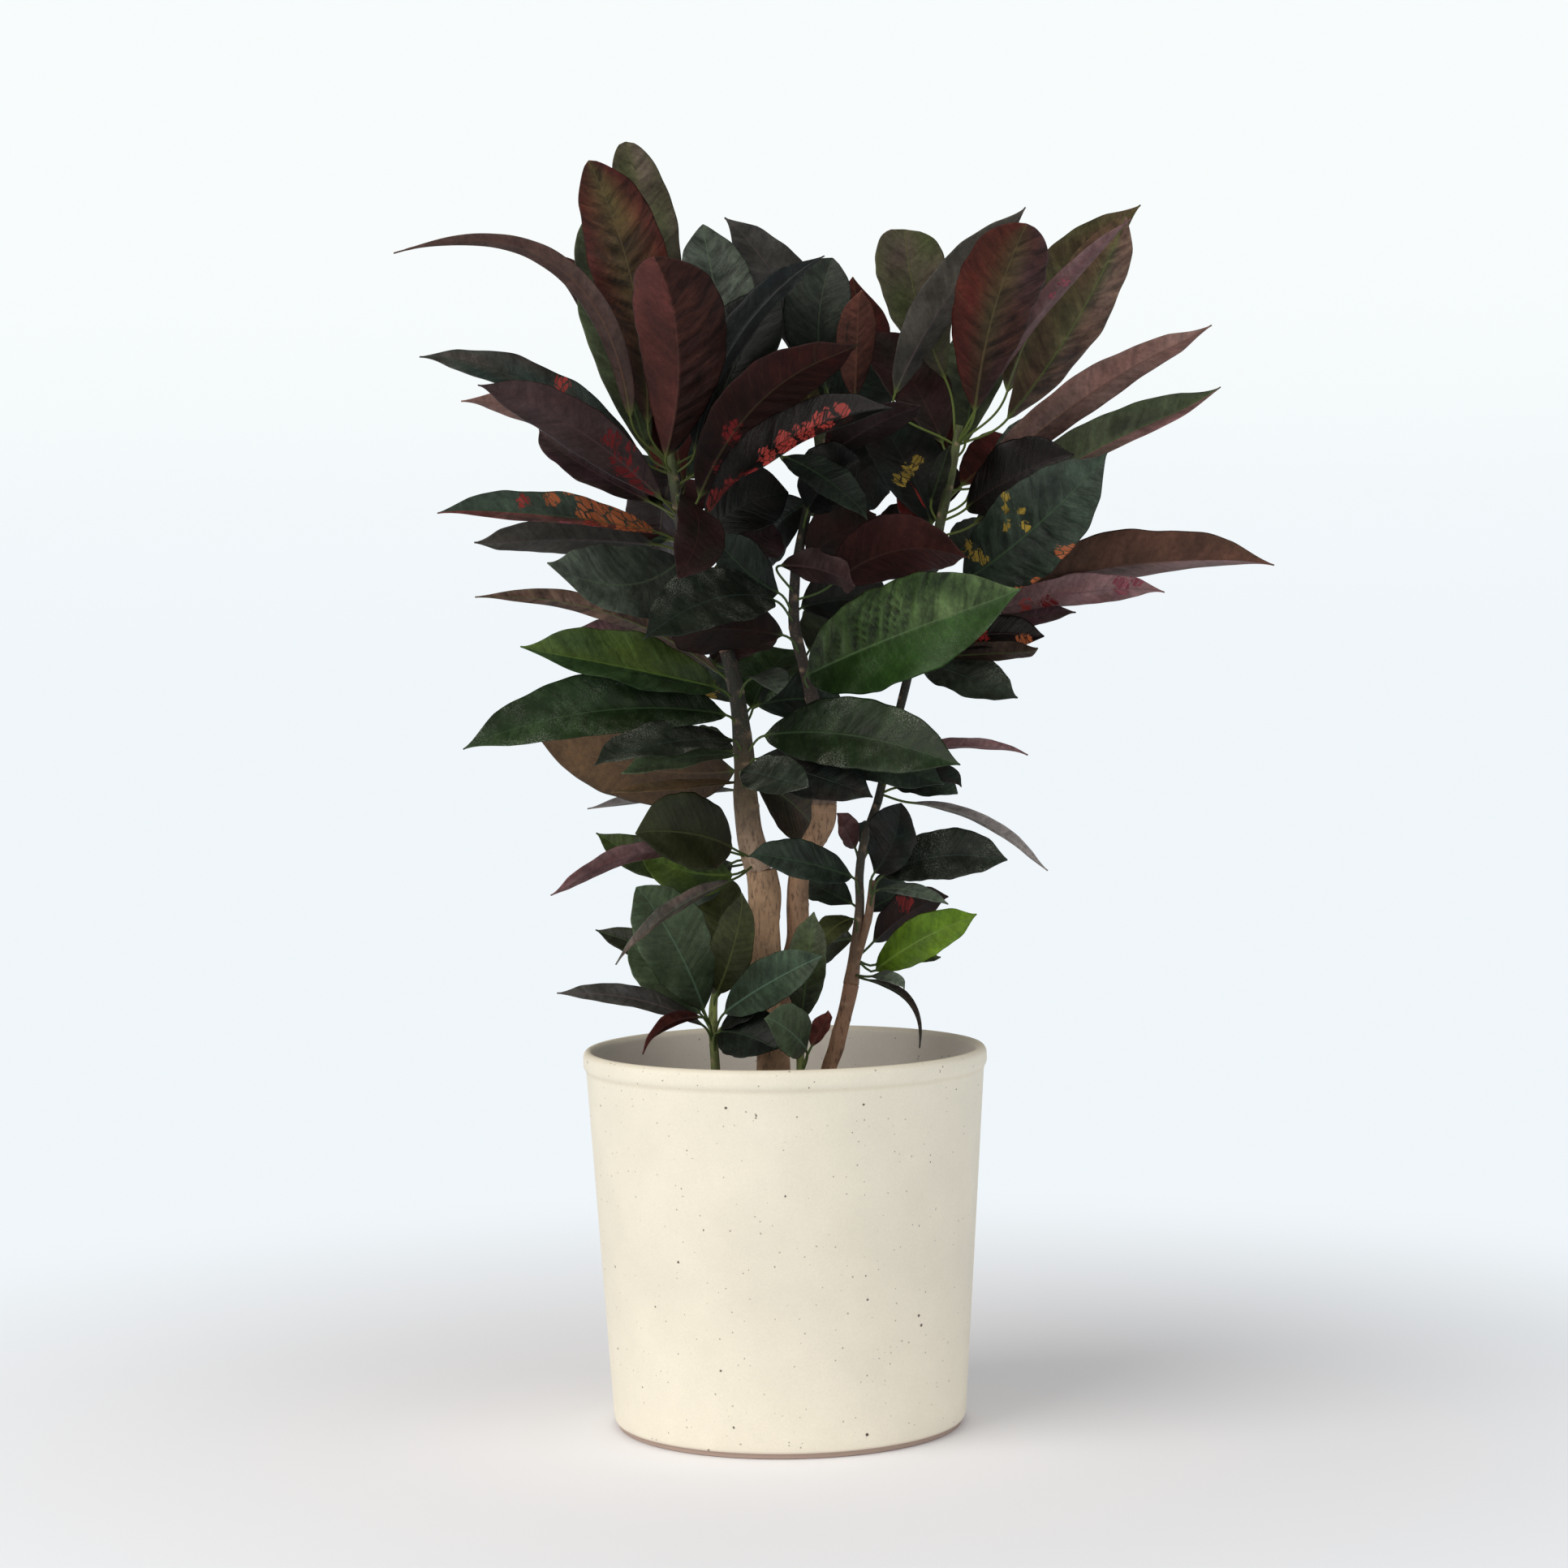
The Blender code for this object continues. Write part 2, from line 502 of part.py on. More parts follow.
def leaf_stations(leaf, paths):
    """Centre points, face normals, widths and thicknesses along a leaf, from its root in the stem to its tip.

    The blade follows a cubic Bezier curve from its start to its tip. Its two inner handles are pushed up by
    the bow, and to or from the viewer by the droop, as far as its face is turned that way.
    Its width grows as a power of the way from the start, and falls as a power of the way to the tip.
    """
    base_x, base_z, tip_x, tip_z, depth, width, bow, face, blunt = leaf
    tip = placed(tip_x, depth, tip_z)
    flat_base = placed(base_x, 0, base_z)
    root = leaf_root(paths, flat_base)
    stalk_run = math.hypot(flat_base[0] - root[0], flat_base[2] - root[2])
    blade_run = math.hypot(tip[0] - flat_base[0], tip[2] - flat_base[2])
    share = stalk_run / (stalk_run + blade_run)
    base = placed(base_x, (root[1] + (tip[1] - root[1]) * share) / MM, base_z)
    chord = tip - base
    length = np.linalg.norm(chord)
    along = chord / length
    to_viewer = np.array([0.0, -1.0, 0.0])
    facing = unit(to_viewer - (to_viewer @ along) * along)
    upward = np.cross(along, facing)
    if upward[2] < 0:
        upward = -upward
    turn = math.radians(face)
    normal = math.sin(turn) * facing + math.cos(turn) * upward
    push = (upward * bow * MM + facing * math.sin(turn) * length * DROOP) / HANDLE_REACH
    handles = [base, base + chord / 3 + push, base + chord * 2 / 3 + push, tip]
    count = 5 if length > LONG_BLADE else (4 if length > SHORT_BLADE else 3)
    centres = [root]
    normals = [normal]
    widths = [PETIOLE_WIDTH]
    thicknesses = [PETIOLE_THICKNESS]
    rise = POINTED_RISE + (BLUNT_RISE - POINTED_RISE) * blunt
    fall = POINTED_FALL + (BLUNT_FALL - POINTED_FALL) * blunt
    peak = rise / (rise + fall)
    for k in range(count + 1):
        t = k / count
        a, b, c, d = handles
        point = a * (1 - t) ** 3 + b * 3 * t * (1 - t) ** 2 + c * 3 * t ** 2 * (1 - t) + d * t ** 3
        tangent = (b - a) * (1 - t) ** 2 + (c - b) * 2 * t * (1 - t) + (d - c) * t ** 2
        tangent = unit(tangent)
        level = unit(normal - (normal @ tangent) * tangent)
        shape = (t / peak) ** rise * ((1 - t) / (1 - peak)) ** fall
        centres.append(point)
        normals.append(level)
        widths.append(max(width * MM * shape, PETIOLE_WIDTH if k == 0 else TIP_WIDTH))
        thicknesses.append(PETIOLE_THICKNESS if k == 0 else BLADE_THICKNESS)
    return centres, normals, widths, thicknesses


def leaf_faces(sections):
    """Triangles of a closed loft of six-point sections, split alike on the upper and the lower face."""
    faces = []
    for k in range(sections - 1):
        a = 6 * k
        b = a + 6
        for left in (0, 1):
            right = left + 1
            faces.append((a + left, b + left, b + right))
            faces.append((a + left, b + right, a + right))
            low_left = 5 - left
            low_right = 4 - left
            faces.append((a + low_left, b + low_right, b + low_left))
            faces.append((a + low_left, a + low_right, b + low_right))
        faces.append((a + 2, b + 2, b + 3))
        faces.append((a + 2, b + 3, a + 3))
        faces.append((a + 5, b + 5, b))
        faces.append((a + 5, b, a))
    end = 6 * (sections - 1)
    for start in (0, end):
        faces.append((start, start + 1, start + 4))
        faces.append((start, start + 4, start + 5))
        faces.append((start + 1, start + 2, start + 3))
        faces.append((start + 1, start + 3, start + 4))
    return faces


def add_leaf(name, leaf, paths, collection):
    """A folded blade on its stalk: left edge, midrib and right edge above, and the same below."""
    centres, normals, widths, thicknesses = leaf_stations(leaf, paths)
    fold = math.radians(FOLD_DEGREES)
    vertices = []
    for k, (centre, normal, width, thickness) in enumerate(zip(centres, normals, widths, thicknesses)):
        ahead = centres[min(k + 1, len(centres) - 1)]
        behind = centres[max(k - 1, 0)]
        tangent = unit(ahead - behind)
        normal = unit(normal - (normal @ tangent) * tangent)
        side = np.cross(tangent, normal)
        lift = width / 2 * math.sin(fold)
        wave = EDGE_WAVE * width * math.cos(WAVE_STEP * k + leaf[5])
        half = side * width / 2 * math.cos(fold)
        thick = normal * thickness / 2
        left = centre - half + normal * (lift + wave)
        right = centre + half + normal * (lift - wave)
        vertices += [left + thick, centre + thick, right + thick, right - thick, centre - thick, left - thick]
    return add_mesh(name, vertices, leaf_faces(len(centres)), collection)


def join_to(body, pieces, name):
    """One union of the body with every piece, applied, with the pieces then removed."""
    if not pieces:
        return body
    holder = new_collection(name + "_pieces")
    for piece in pieces:
        for owner in list(piece.users_collection):
            owner.objects.unlink(piece)
        holder.objects.link(piece)
    union = body.modifiers.new("Join", "BOOLEAN")
    union.operation = "UNION"
    union.operand_type = "COLLECTION"
    union.collection = holder
    union.solver = "MANIFOLD"
    mesh = evaluated_mesh(body)
    body.modifiers.clear()
    body.data = mesh
    for piece in pieces:
        bpy.data.objects.remove(piece)
    bpy.data.collections.remove(holder)
    return body


def make_shoot(name, stems, leaves, collection, seat=SEAT_GAP):
    """A leafy shoot: its stems and every leaf on them, joined in one body."""
    tubes = [add_stem(f"{name}_{index}", stem, collection, seat if index == 0 else 0.0)
             for index, stem in enumerate(stems)]
    paths = [stem_path(stem)[0] for stem in stems]
    blades = [add_leaf(f"{name}_leaf_{index}", leaf, paths, collection) for index, leaf in enumerate(leaves)]
    body = join_to(tubes[0], tubes[1:] + blades, name)
    body.name = name
    return body


def main():
    clear_scene()
    croton = new_collection("potted_croton")
    cutters = new_collection("cutters")
    rooted = [TRUNK_LEFT_ARM, TRUNK_SLIM, STEM_SHOOT_LEFT, STEM_SHOOT_MIDDLE]
    make_pot(croton)
    make_soil(croton, cutters, rooted)
    make_shoot("trunk_main", [TRUNK_LEFT_ARM, TRUNK_RIGHT_ARM], [], croton)
    make_shoot("trunk_slim", [TRUNK_SLIM], [], croton)
    make_shoot("whorl_left", [STEM_WHORL_LEFT], LEAVES_WHORL_LEFT, croton)
    make_shoot("crown_left", [STEM_CROWN_LEFT], LEAVES_CROWN_LEFT, croton)
    make_shoot("spray_middle", [STEM_SPRAY], LEAVES_SPRAY, croton)
    make_shoot("crown_back", [STEM_CROWN_BACK], LEAVES_CROWN_BACK, croton)
    make_shoot("whorl_right", [STEM_WHORL_RIGHT, TWIG_WHORL_RIGHT], LEAVES_WHORL_RIGHT, croton)
    make_shoot("crown_right", [STEM_CROWN_RIGHT], LEAVES_CROWN_RIGHT, croton)
    make_shoot("shoot_left", [STEM_SHOOT_LEFT], LEAVES_SHOOT_LEFT, croton)
    make_shoot("shoot_middle", [STEM_SHOOT_MIDDLE], LEAVES_SHOOT_MIDDLE, croton)
    for thing in croton.objects:
        thing.data.materials.clear()
        thing.data.materials.append(new_material(thing.name))


main()
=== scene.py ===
import math

import bpy
import numpy as np
from mathutils import Matrix


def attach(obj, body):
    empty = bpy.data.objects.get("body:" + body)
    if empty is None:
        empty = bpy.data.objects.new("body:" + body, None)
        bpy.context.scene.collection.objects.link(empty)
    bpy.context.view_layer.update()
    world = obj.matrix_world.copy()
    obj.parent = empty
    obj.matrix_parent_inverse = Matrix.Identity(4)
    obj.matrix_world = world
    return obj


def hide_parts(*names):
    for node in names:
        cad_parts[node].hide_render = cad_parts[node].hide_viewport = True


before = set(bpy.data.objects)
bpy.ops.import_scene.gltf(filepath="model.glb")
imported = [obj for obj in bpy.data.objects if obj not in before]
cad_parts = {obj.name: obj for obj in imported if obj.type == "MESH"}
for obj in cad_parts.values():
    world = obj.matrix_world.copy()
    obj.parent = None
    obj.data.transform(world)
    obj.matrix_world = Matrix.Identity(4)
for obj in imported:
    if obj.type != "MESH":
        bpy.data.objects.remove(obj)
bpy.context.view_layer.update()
print("solids loaded:", len(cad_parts), "nodes")

mm = 0.001

# the eye that the leaves were laid out from, in metres and degrees
eye = {"x": 0.0016, "distance": 1.850, "height": 0.409, "pitch": 2.36, "roll": -0.85, "lens": 81.89}


def linearColour(hexText):
    # each sRGB byte to linear light: c / 12.92 when dark, else ((c + 0.055) / 1.055) to the power 2.4
    c = np.array([int(hexText[i:i + 2], 16) for i in (1, 3, 5)]) / 255.0
    return np.where(c <= 0.04045, c / 12.92, ((c + 0.055) / 1.055) ** 2.4)


def setSockets(tree, node, **sockets):
    # sockets by name, or by number as i0, i1; a node or (node, output) is linked, and a hex text is a colour
    for name, value in sockets.items():
        key = int(name[1:]) if name[0] == "i" and name[1:].isdigit() else name.replace("_", " ")
        socket = node.inputs[key]
        if isinstance(value, bpy.types.Node):
            value = (value, 0)
        if isinstance(value, tuple) and isinstance(value[0], bpy.types.Node):
            tree.links.new(value[0].outputs[value[1]], socket)
        elif isinstance(value, str):
            socket.default_value = (*linearColour(value), 1.0)
        else:
            socket.default_value = value


def addNode(tree, kind, settings=None, **sockets):
    # one node with its properties and sockets set
    node = tree.nodes.new("ShaderNode" + kind)
    for name, value in (settings or {}).items():
        setattr(node, name, value)
    setSockets(tree, node, **sockets)
    return node


def maths(tree, operation, *values):
    # one operation on its values in order, such as MULTIPLY_ADD for a * b + c
    sockets = {f"i{k}": value for k, value in enumerate(values)}
    return addNode(tree, "Math", {"operation": operation}, **sockets)


def remap(tree, value, low=0.0, high=1.0, start=0.0, end=1.0, kind="LINEAR"):
    # carries the range low to high to the range start to end and stops there
    return addNode(tree, "MapRange", {"interpolation_type": kind}, Value=value, From_Min=low, From_Max=high,
                   To_Min=start, To_Max=end)


def blend(tree, share, first, second):
    # the first colour where the share is 0, the second where it is 1
    return addNode(tree, "Mix", {"data_type": "RGBA"}, i0=share, i6=first, i7=second), 2


def noise(tree, place, scale, detail, roughness=0.5, distortion=0.0):
    # cloudy noise from 0 to 1, with so many clouds to a metre
    return addNode(tree, "TexNoise", Vector=place, Scale=scale, Detail=detail, Roughness=roughness,
                   Distortion=distortion)


def shaded(tree, colour, value):
    # a colour times a value
    return addNode(tree, "HueSaturation", Value=value, Color=colour)


def stored(tree, name):
    # what a mesh holds for each of its points under that name
    return addNode(tree, "Attribute", {"attribute_name": name})


def objectPlace(tree):
    # the point itself in metres
    return addNode(tree, "TexCoord"), "Object"


def newMaterial(name):
    # a Principled material and its tree
    material = bpy.data.materials.new(name)
    material.use_nodes = True
    tree = material.node_tree
    return material, tree, tree.nodes["Principled BSDF"]


def unitRows(vectors):
    # every vector of the array divided by its own length
    return vectors / np.maximum(np.linalg.norm(vectors, axis=-1, keepdims=True), 1e-12)


def pathRun(line):
    # how far along the line each of its points lies: the running sum of the steps
    return np.concatenate([[0.0], np.cumsum(np.linalg.norm(np.diff(line, axis=0), axis=1))])


def seenPoint(x, y, z):
    # a point seen at (x, z) in the plane of the pot's axis, moved to depth y along the line of sight, mm in
    depth = np.asarray(y, float) * mm
    scale = (eye["distance"] + depth) / eye["distance"]
    across = eye["x"] + (np.asarray(x, float) * mm - eye["x"]) * scale
    up = eye["height"] + (np.asarray(z, float) * mm - eye["height"]) * scale
    return np.stack(np.broadcast_arrays(across, depth, up), axis=-1)


def seenFrom(points):
    # the inverse: where a point is seen in the plane of the axis, as (x, z) in mm
    scale = eye["distance"] / (eye["distance"] + points[..., 1])
    return np.stack([eye["x"] + (points[..., 0] - eye["x"]) * scale,
                     eye["height"] + (points[..., 2] - eye["height"]) * scale], axis=-1) / mm


def closedGridFaces(rows, columns, start=0):
    # quads of a grid whose columns close on themselves, with one polygon over each end
    a = np.arange(rows - 1)[:, None] * columns + np.arange(columns)[None, :]
    b = np.arange(rows - 1)[:, None] * columns + (np.arange(columns)[None, :] + 1) % columns
    quads = np.stack([a, b, b + columns, a + columns], axis=-1).reshape(-1, 4) + start
    first = (np.arange(columns)[::-1] + start).tolist()
    last = (np.arange(columns) + (rows - 1) * columns + start).tolist()
    return quads.tolist() + [first, last]


def addPiece(name, points, faces, material, attributes, replaced=()):
    # a smooth mesh object from arrays, with its point attributes, riding on the root
    mesh = bpy.data.meshes.new(name)
    mesh.from_pydata(np.asarray(points).reshape(-1, 3).tolist(), [], faces)
    for key, values in attributes.items():
        values = np.asarray(values, float)
        kind, field = {1: ("FLOAT", "value"), 3: ("FLOAT_VECTOR", "vector"), 4: ("FLOAT_COLOR", "color")}[
            1 if values.ndim == 1 else values.shape[1]]
        mesh.attributes.new(key, kind, "POINT").data.foreach_set(field, values.ravel())
    mesh.materials.append(material)
    mesh.polygons.foreach_set("use_smooth", np.ones(len(mesh.polygons), bool))
    mesh.update()
    piece = bpy.data.objects.new(name, mesh)
    bpy.context.scene.collection.objects.link(piece)
    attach(piece, "root")
    if replaced:
        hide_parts(*replaced)


# the room and its paper floor, and three soft boxes: place and size in metres, the height that they look at,
# and glare 1 where the leaves mirror them
studio = {
    "wallLow": "#f0f6fa", "wallHigh": "#f8fcfc", "roomTint": "#f7f7f7", "roomLight": 0.62,
    "backLight": 0.55, "roomGloss": 0.30, "backGloss": 0.10,
    "floor": "#f7f7fa", "floorRadius": 9.0, "fadeFrom": 0.16, "fadeTo": 0.80,
}
lamps = {
    "keyBox": {"at": (-1.7, -1.3, 1.6), "size": 2.1, "aim": 0.3, "watts": 41, "tint": "#fffaf3", "glare": 1},
    "fillBox": {"at": (1.9, -1.3, 1.2), "size": 1.6, "aim": 0.3, "watts": 8, "tint": "#fbf8f4", "glare": 1},
    "rimBox": {"at": (0.3, 1.7, 2.0), "size": 1.4, "aim": 0.4, "watts": 3, "tint": "#f7fbff", "glare": 0},
}


def placeCamera():
    data = bpy.data.cameras.new("photoEye")
    data.lens, data.sensor_width = eye["lens"], 36.0
    camera = bpy.data.objects.new("photoEye", data)
    camera.matrix_world = (Matrix.Translation((eye["x"], -eye["distance"], eye["height"]))
                           @ Matrix.Rotation(math.radians(90.0 - eye["pitch"]), 4, "X")
                           @ Matrix.Rotation(math.radians(eye["roll"]), 4, "Z"))
    bpy.context.scene.collection.objects.link(camera)
    bpy.context.scene.camera = camera
    bpy.context.scene.view_settings.view_transform = "Standard"


def makeRoom():
    # the wall behind is bright, with painted shade that makes it greyer low down, and the light that the room
    # sends back is dimmer
    world = bpy.data.worlds.new("softRoom")
    world.use_nodes = True
    room = world.node_tree
    wall = room.nodes["Background"]
    upward = addNode(room, "SeparateXYZ", Vector=(addNode(room, "TexCoord"), "Generated"))
    climb = remap(room, (upward, "Z"), -0.01, 0.11, kind="SMOOTHSTEP")
    setSockets(room, wall, Color=blend(room, climb, studio["wallLow"], studio["wallHigh"]))
    # most of the room's light comes from in front of the plant, and of the light that the leaves mirror too
    front, gloss = studio["roomLight"], studio["roomGloss"]
    lit = remap(room, (upward, "Y"), -0.6, 0.6, front, front * studio["backLight"])
    mirrored = remap(room, (upward, "Y"), -0.6, 0.4, gloss, gloss * studio["backGloss"])
    lit, mirrored = [addNode(room, "Background", Color=studio["roomTint"], Strength=glow)
                     for glow in (lit, mirrored)]
    ray = addNode(room, "LightPath")
    sent = addNode(room, "MixShader", i0=(ray, "Is Glossy Ray"), i1=lit, i2=mirrored)
    both = addNode(room, "MixShader", i0=(ray, "Is Camera Ray"), i1=sent, i2=wall)
    setSockets(room, room.nodes["World Output"], Surface=both)
    bpy.context.scene.world = world


def makeFloor():
    # painted paper floor: matt, with a faint unevenness; away from the pot it turns black and glows in the
    # wall's low colour, painted light that makes it brighten as a lit sweep does
    material, tree, shader = newMaterial("paintedFloor")
    place = objectPlace(tree)
    paint = shaded(tree, studio["floor"], remap(tree, noise(tree, place, 1.6, 3.0), 0.0, 1.0, 0.97, 1.03))
    reach = addNode(tree, "VectorMath", {"operation": "LENGTH"}, i0=place)
    # painted light: the share of the floor that glows instead of taking light
    far = remap(tree, (reach, "Value"), studio["fadeFrom"], studio["fadeTo"], kind="SMOOTHSTEP")
    setSockets(tree, shader, Base_Color=blend(tree, far, paint, "#000000"), Emission_Strength=far,
               Emission_Color=studio["wallLow"], Roughness=0.9, Specular_IOR_Level=0.0)
    mesh = bpy.data.meshes.new("floor")
    turns = np.linspace(0, 2 * math.pi, 64, endpoint=False)
    wide = studio["floorRadius"]
    rim = np.stack([wide * np.cos(turns), wide * np.sin(turns), 0 * turns - 0.0002], axis=1)
    mesh.from_pydata(rim.tolist(), [], [list(range(64))])
    mesh.materials.append(material)
    floor = bpy.data.objects.new("floor", mesh)
    bpy.context.scene.collection.objects.link(floor)


def hangLamp(name, lamp):
    # a square soft box that looks at a point over the pot's middle
    data = bpy.data.lights.new(name, "AREA")
    data.shape, data.size, data.energy = "SQUARE", lamp["size"], lamp["watts"]
    data.color = linearColour(lamp["tint"])
    box = bpy.data.objects.new(name, data)
    box.location = lamp["at"]
    ray = unitRows(np.array([0.0, 0.0, lamp["aim"]]) - np.array(lamp["at"]))
    box.rotation_euler = (math.acos(-ray[2]), 0.0, math.atan2(ray[0], -ray[1]) + math.pi)
    box.visible_glossy = lamp["glare"] == 1
    bpy.context.scene.collection.objects.link(box)


placeCamera()
makeRoom()
makeFloor()
for name, lamp in lamps.items():
    hangLamp(name, lamp)
print("camera, lights and floor are in place")


# sizes in mm; specks: cells to a metre, size of a dot as a share of its cell, share left empty, strength;
# clouds and grain: how many to a metre and the lightness that they range over; bounceLight: between these
# heights in metres the glaze is painted this much lighter, painted light standing for light thrown up from the
# floor
pot = {
    "height": 196.0, "lipRadius": 105.0, "baseRadius": 91.7, "wall": 5.5, "floor": 9.0, "lipBand": 10.5,
    "lipStep": 0.8, "foot": 2.5, "footInset": 2.0, "sides": 220, "longestStep": 7.0, "glaze": "#ece5d3",
    "glazeThin": "#d9cdb4", "glazeInside": "#ebe4d9", "clay": "#b39d90", "speck": "#4a3628",
    "specks": [(75.0, 0.060, 0.76, 1.0), (150.0, 0.078, 0.76, 0.90), (330.0, 0.12, 0.70, 0.50)],
    "clouds": 28.0, "cloudTone": (0.955, 1.03), "grain": 900.0, "grainTone": (0.965, 1.03),
    "bounceLight": (0.010, 0.085, 1.09), "roughness": (0.50, 0.66), "relief": 0.16,
}


def roundedLine(corners, steps=5):
    # every corner of (radius, height, bend) becomes a quadratic Bezier that starts and ends a bend away
    line = [np.array([corners[0][:2]])]
    t = np.linspace(0, 1, steps)[:, None]
    for before, corner, after in zip(corners, corners[1:-1], corners[2:]):
        middle = np.array(corner[:2])
        back = np.array(before[:2]) - middle
        ahead = np.array(after[:2]) - middle
        start = middle + back * min(0.45, corner[2] / np.linalg.norm(back))
        end = middle + ahead * min(0.45, corner[2] / np.linalg.norm(ahead))
        line.append(start * (1 - t) ** 2 + middle * 2 * t * (1 - t) + end * t ** 2)
    line.append(np.array([corners[-1][:2]]))
    return np.concatenate(line)


def splitLong(line, longest):
    # extra points on straight runs so that no step is longer than that
    reached = pathRun(line)
    steps = [(a, b) for a, b in zip(reached[:-1], reached[1:]) if b > a]
    extra = [np.linspace(a, b, int((b - a) // longest) + 2)[:-1] for a, b in steps]
    places = np.concatenate(extra + [[reached[-1]]])
    return np.stack([np.interp(places, reached, line[:, k]) for k in (0, 1)], axis=1)


def glazeMaterial():
    # stoneware, slip cast and dipped in a matt cream glaze: dry sheen, iron specks that bleed through,
    # a warmer line where the glaze breaks thin over the lip, and bare brown clay on the foot
    material, tree, shader = newMaterial("mattGlazedStoneware")
    place = objectPlace(tree)
    part = addNode(tree, "SeparateXYZ", Vector=(stored(tree, "potSide"), "Vector"))
    cloud = noise(tree, place, pot["clouds"], 5.0, 0.6)
    grain = noise(tree, place, pot["grain"], 3.0, 0.7)
    # each cell, 3 to 14 mm across, holds one dot, kept only in some cells
    dots = None
    for scale, size, empty, strength in pot["specks"]:
        wobble = addNode(tree, "VectorMath", {"operation": "MULTIPLY_ADD"}, i0=(grain, "Color"),
                         i1=(0.0009, 0.0009, 0.0009), i2=place)
        cell = addNode(tree, "TexVoronoi", Vector=wobble, Scale=scale)
        chance = addNode(tree, "SeparateColor", Color=(cell, "Color"))
        wide = remap(tree, (chance, 1), 0.0, 1.0, 0.4 * size, 1.6 * size)
        soft = remap(tree, maths(tree, "SUBTRACT", wide, cell), 0.0, 0.03, 0.0, strength)
        dot = maths(tree, "MULTIPLY", soft, maths(tree, "GREATER_THAN", (chance, 0), empty))
        dots = dot if dots is None else maths(tree, "MAXIMUM", dots, dot)
    tone = remap(tree, cloud, 0.3, 0.7, *pot["cloudTone"])
    fine = remap(tree, grain, 0.3, 0.7, *pot["grainTone"])
    # painted light: the glaze is painted paler near the foot, as if lit by light thrown up from the floor
    bounceLight = remap(tree, (addNode(tree, "SeparateXYZ", Vector=place), 2), *pot["bounceLight"], 1.0)
    shade = maths(tree, "MULTIPLY", maths(tree, "MULTIPLY", tone, fine), bounceLight)
    glaze = blend(tree, (part, 1), pot["glaze"], pot["glazeThin"])
    walls = blend(tree, (part, 0), glaze, pot["glazeInside"])
    specked = blend(tree, dots, shaded(tree, walls, shade), pot["speck"])
    relief = maths(tree, "SUBTRACT", grain, dots)
    setSockets(tree, shader, Base_Color=blend(tree, (part, 2), specked, pot["clay"]), IOR=1.52,
               Roughness=remap(tree, cloud, 0.0, 1.0, *pot["roughness"]),
               Normal=addNode(tree, "Bump", Strength=pot["relief"], Distance=0.0003, Height=relief))
    return material


def innerRadius(height):
    # the outer taper less the wall
    share = height / pot["height"]
    return pot["baseRadius"] + (pot["lipRadius"] - pot["lipStep"] - pot["baseRadius"]) * share - pot["wall"]


def makePot():
    # a profile of radius and height carried round the axis: x = r cos a, y = r sin a
    top, lip, base, foot, inside = [pot[k] for k in ("height", "lipRadius", "baseRadius", "foot", "floor")]
    crease = top - pot["lipBand"]
    lipMiddle = lip - pot["wall"] / 2
    footRadius = base - pot["footInset"]
    corners = [
        (0.6, inside, 0), (innerRadius(inside) - 3.0, inside, 4.0), (innerRadius(crease), crease, 4.0),
        (lip - pot["wall"], top - 2.0, 1.4), (lipMiddle - 1.0, top, 1.0), (lipMiddle + 1.0, top, 1.0),
        (lip - 0.1, top - 2.2, 1.8), (lip, crease + 2.4, 1.6), (lip - 2 * pot["lipStep"], crease - 0.4, 1.5),
        (base + 0.15, foot + 3.0, 1.5), (base - 0.8, foot, 0.7), (footRadius, foot - 0.1, 0.3),
        (footRadius - 0.1, 0.0, 0.5), (0.6, 0.0, 0),
    ]
    line = splitLong(roundedLine(corners), pot["longestStep"])
    turns = np.linspace(0, 2 * math.pi, pot["sides"], endpoint=False)
    radius, height = line[:, :1] * mm, line[:, 1:] * mm
    points = np.stack([radius * np.cos(turns), radius * np.sin(turns), height + 0 * turns], axis=-1)
    # slip casting leaves the wall a hair out of round
    sway = 1 + 0.0006 * np.sin(2 * turns + 0.8 + 4 * height) - 0.0006
    points[..., :2] *= sway[..., None]
    outer = np.arange(len(line)) > np.argmax(line[:, 1] >= top - 0.01)
    inner = (~outer) * np.clip((top - 0.8 - line[:, 1]) / 3.0, 0, 1)
    lipGap = np.abs(line[:, 1] - top)
    creaseGap = np.abs(line[:, 1] - crease)
    thin = np.clip(1 - lipGap / 2.2, 0, 1) * 0.55 + outer * np.clip(1 - creaseGap / 1.6, 0, 1) * 0.4
    bare = np.clip((foot + 0.9 - line[:, 1]) / 0.8, 0, 1) * outer
    sides = np.repeat(np.stack([inner, thin, bare], axis=1), pot["sides"], axis=0)
    addPiece("glazedPot", points, closedGridFaces(len(line), pot["sides"]), glazeMaterial(),
             {"potSide": sides}, ["pot"])


makePot()
print("pot is turned and glazed")


# sizes in mm
mix = {"top": 160.0, "relief": 2.2, "rings": 70, "sides": 200, "lumps": 420, "lumpSize": (1.5, 5.0),
       "crumbs": 520, "crumbSize": (0.8, 3.2), "beadSize": (0.8, 1.6), "beads": 0.16, "seed": 11,
       "peat": "#2a1d15", "fibre": "#5a4330", "stone": "#b9b4a8"}


def mixMaterial():
    # peat and bark compost: crumbly and matt, nearly black when damp, with pale fibres
    material, tree, shader = newMaterial("peatPottingMix")
    place = objectPlace(tree)
    crumb = noise(tree, place, 420.0, 6.0, 0.75)
    patch = noise(tree, place, 60.0, 3.0)
    tint = blend(tree, remap(tree, crumb, 0.45, 0.75), mix["peat"], mix["fibre"])
    aged = shaded(tree, tint, remap(tree, patch, 0.0, 1.0, 0.55, 1.35))
    setSockets(tree, shader, Base_Color=blend(tree, (stored(tree, "stoneShare"), "Fac"), aged, mix["stone"]),
               Roughness=0.92, Normal=addNode(tree, "Bump", Strength=0.8, Distance=0.0012, Height=crumb))
    return material


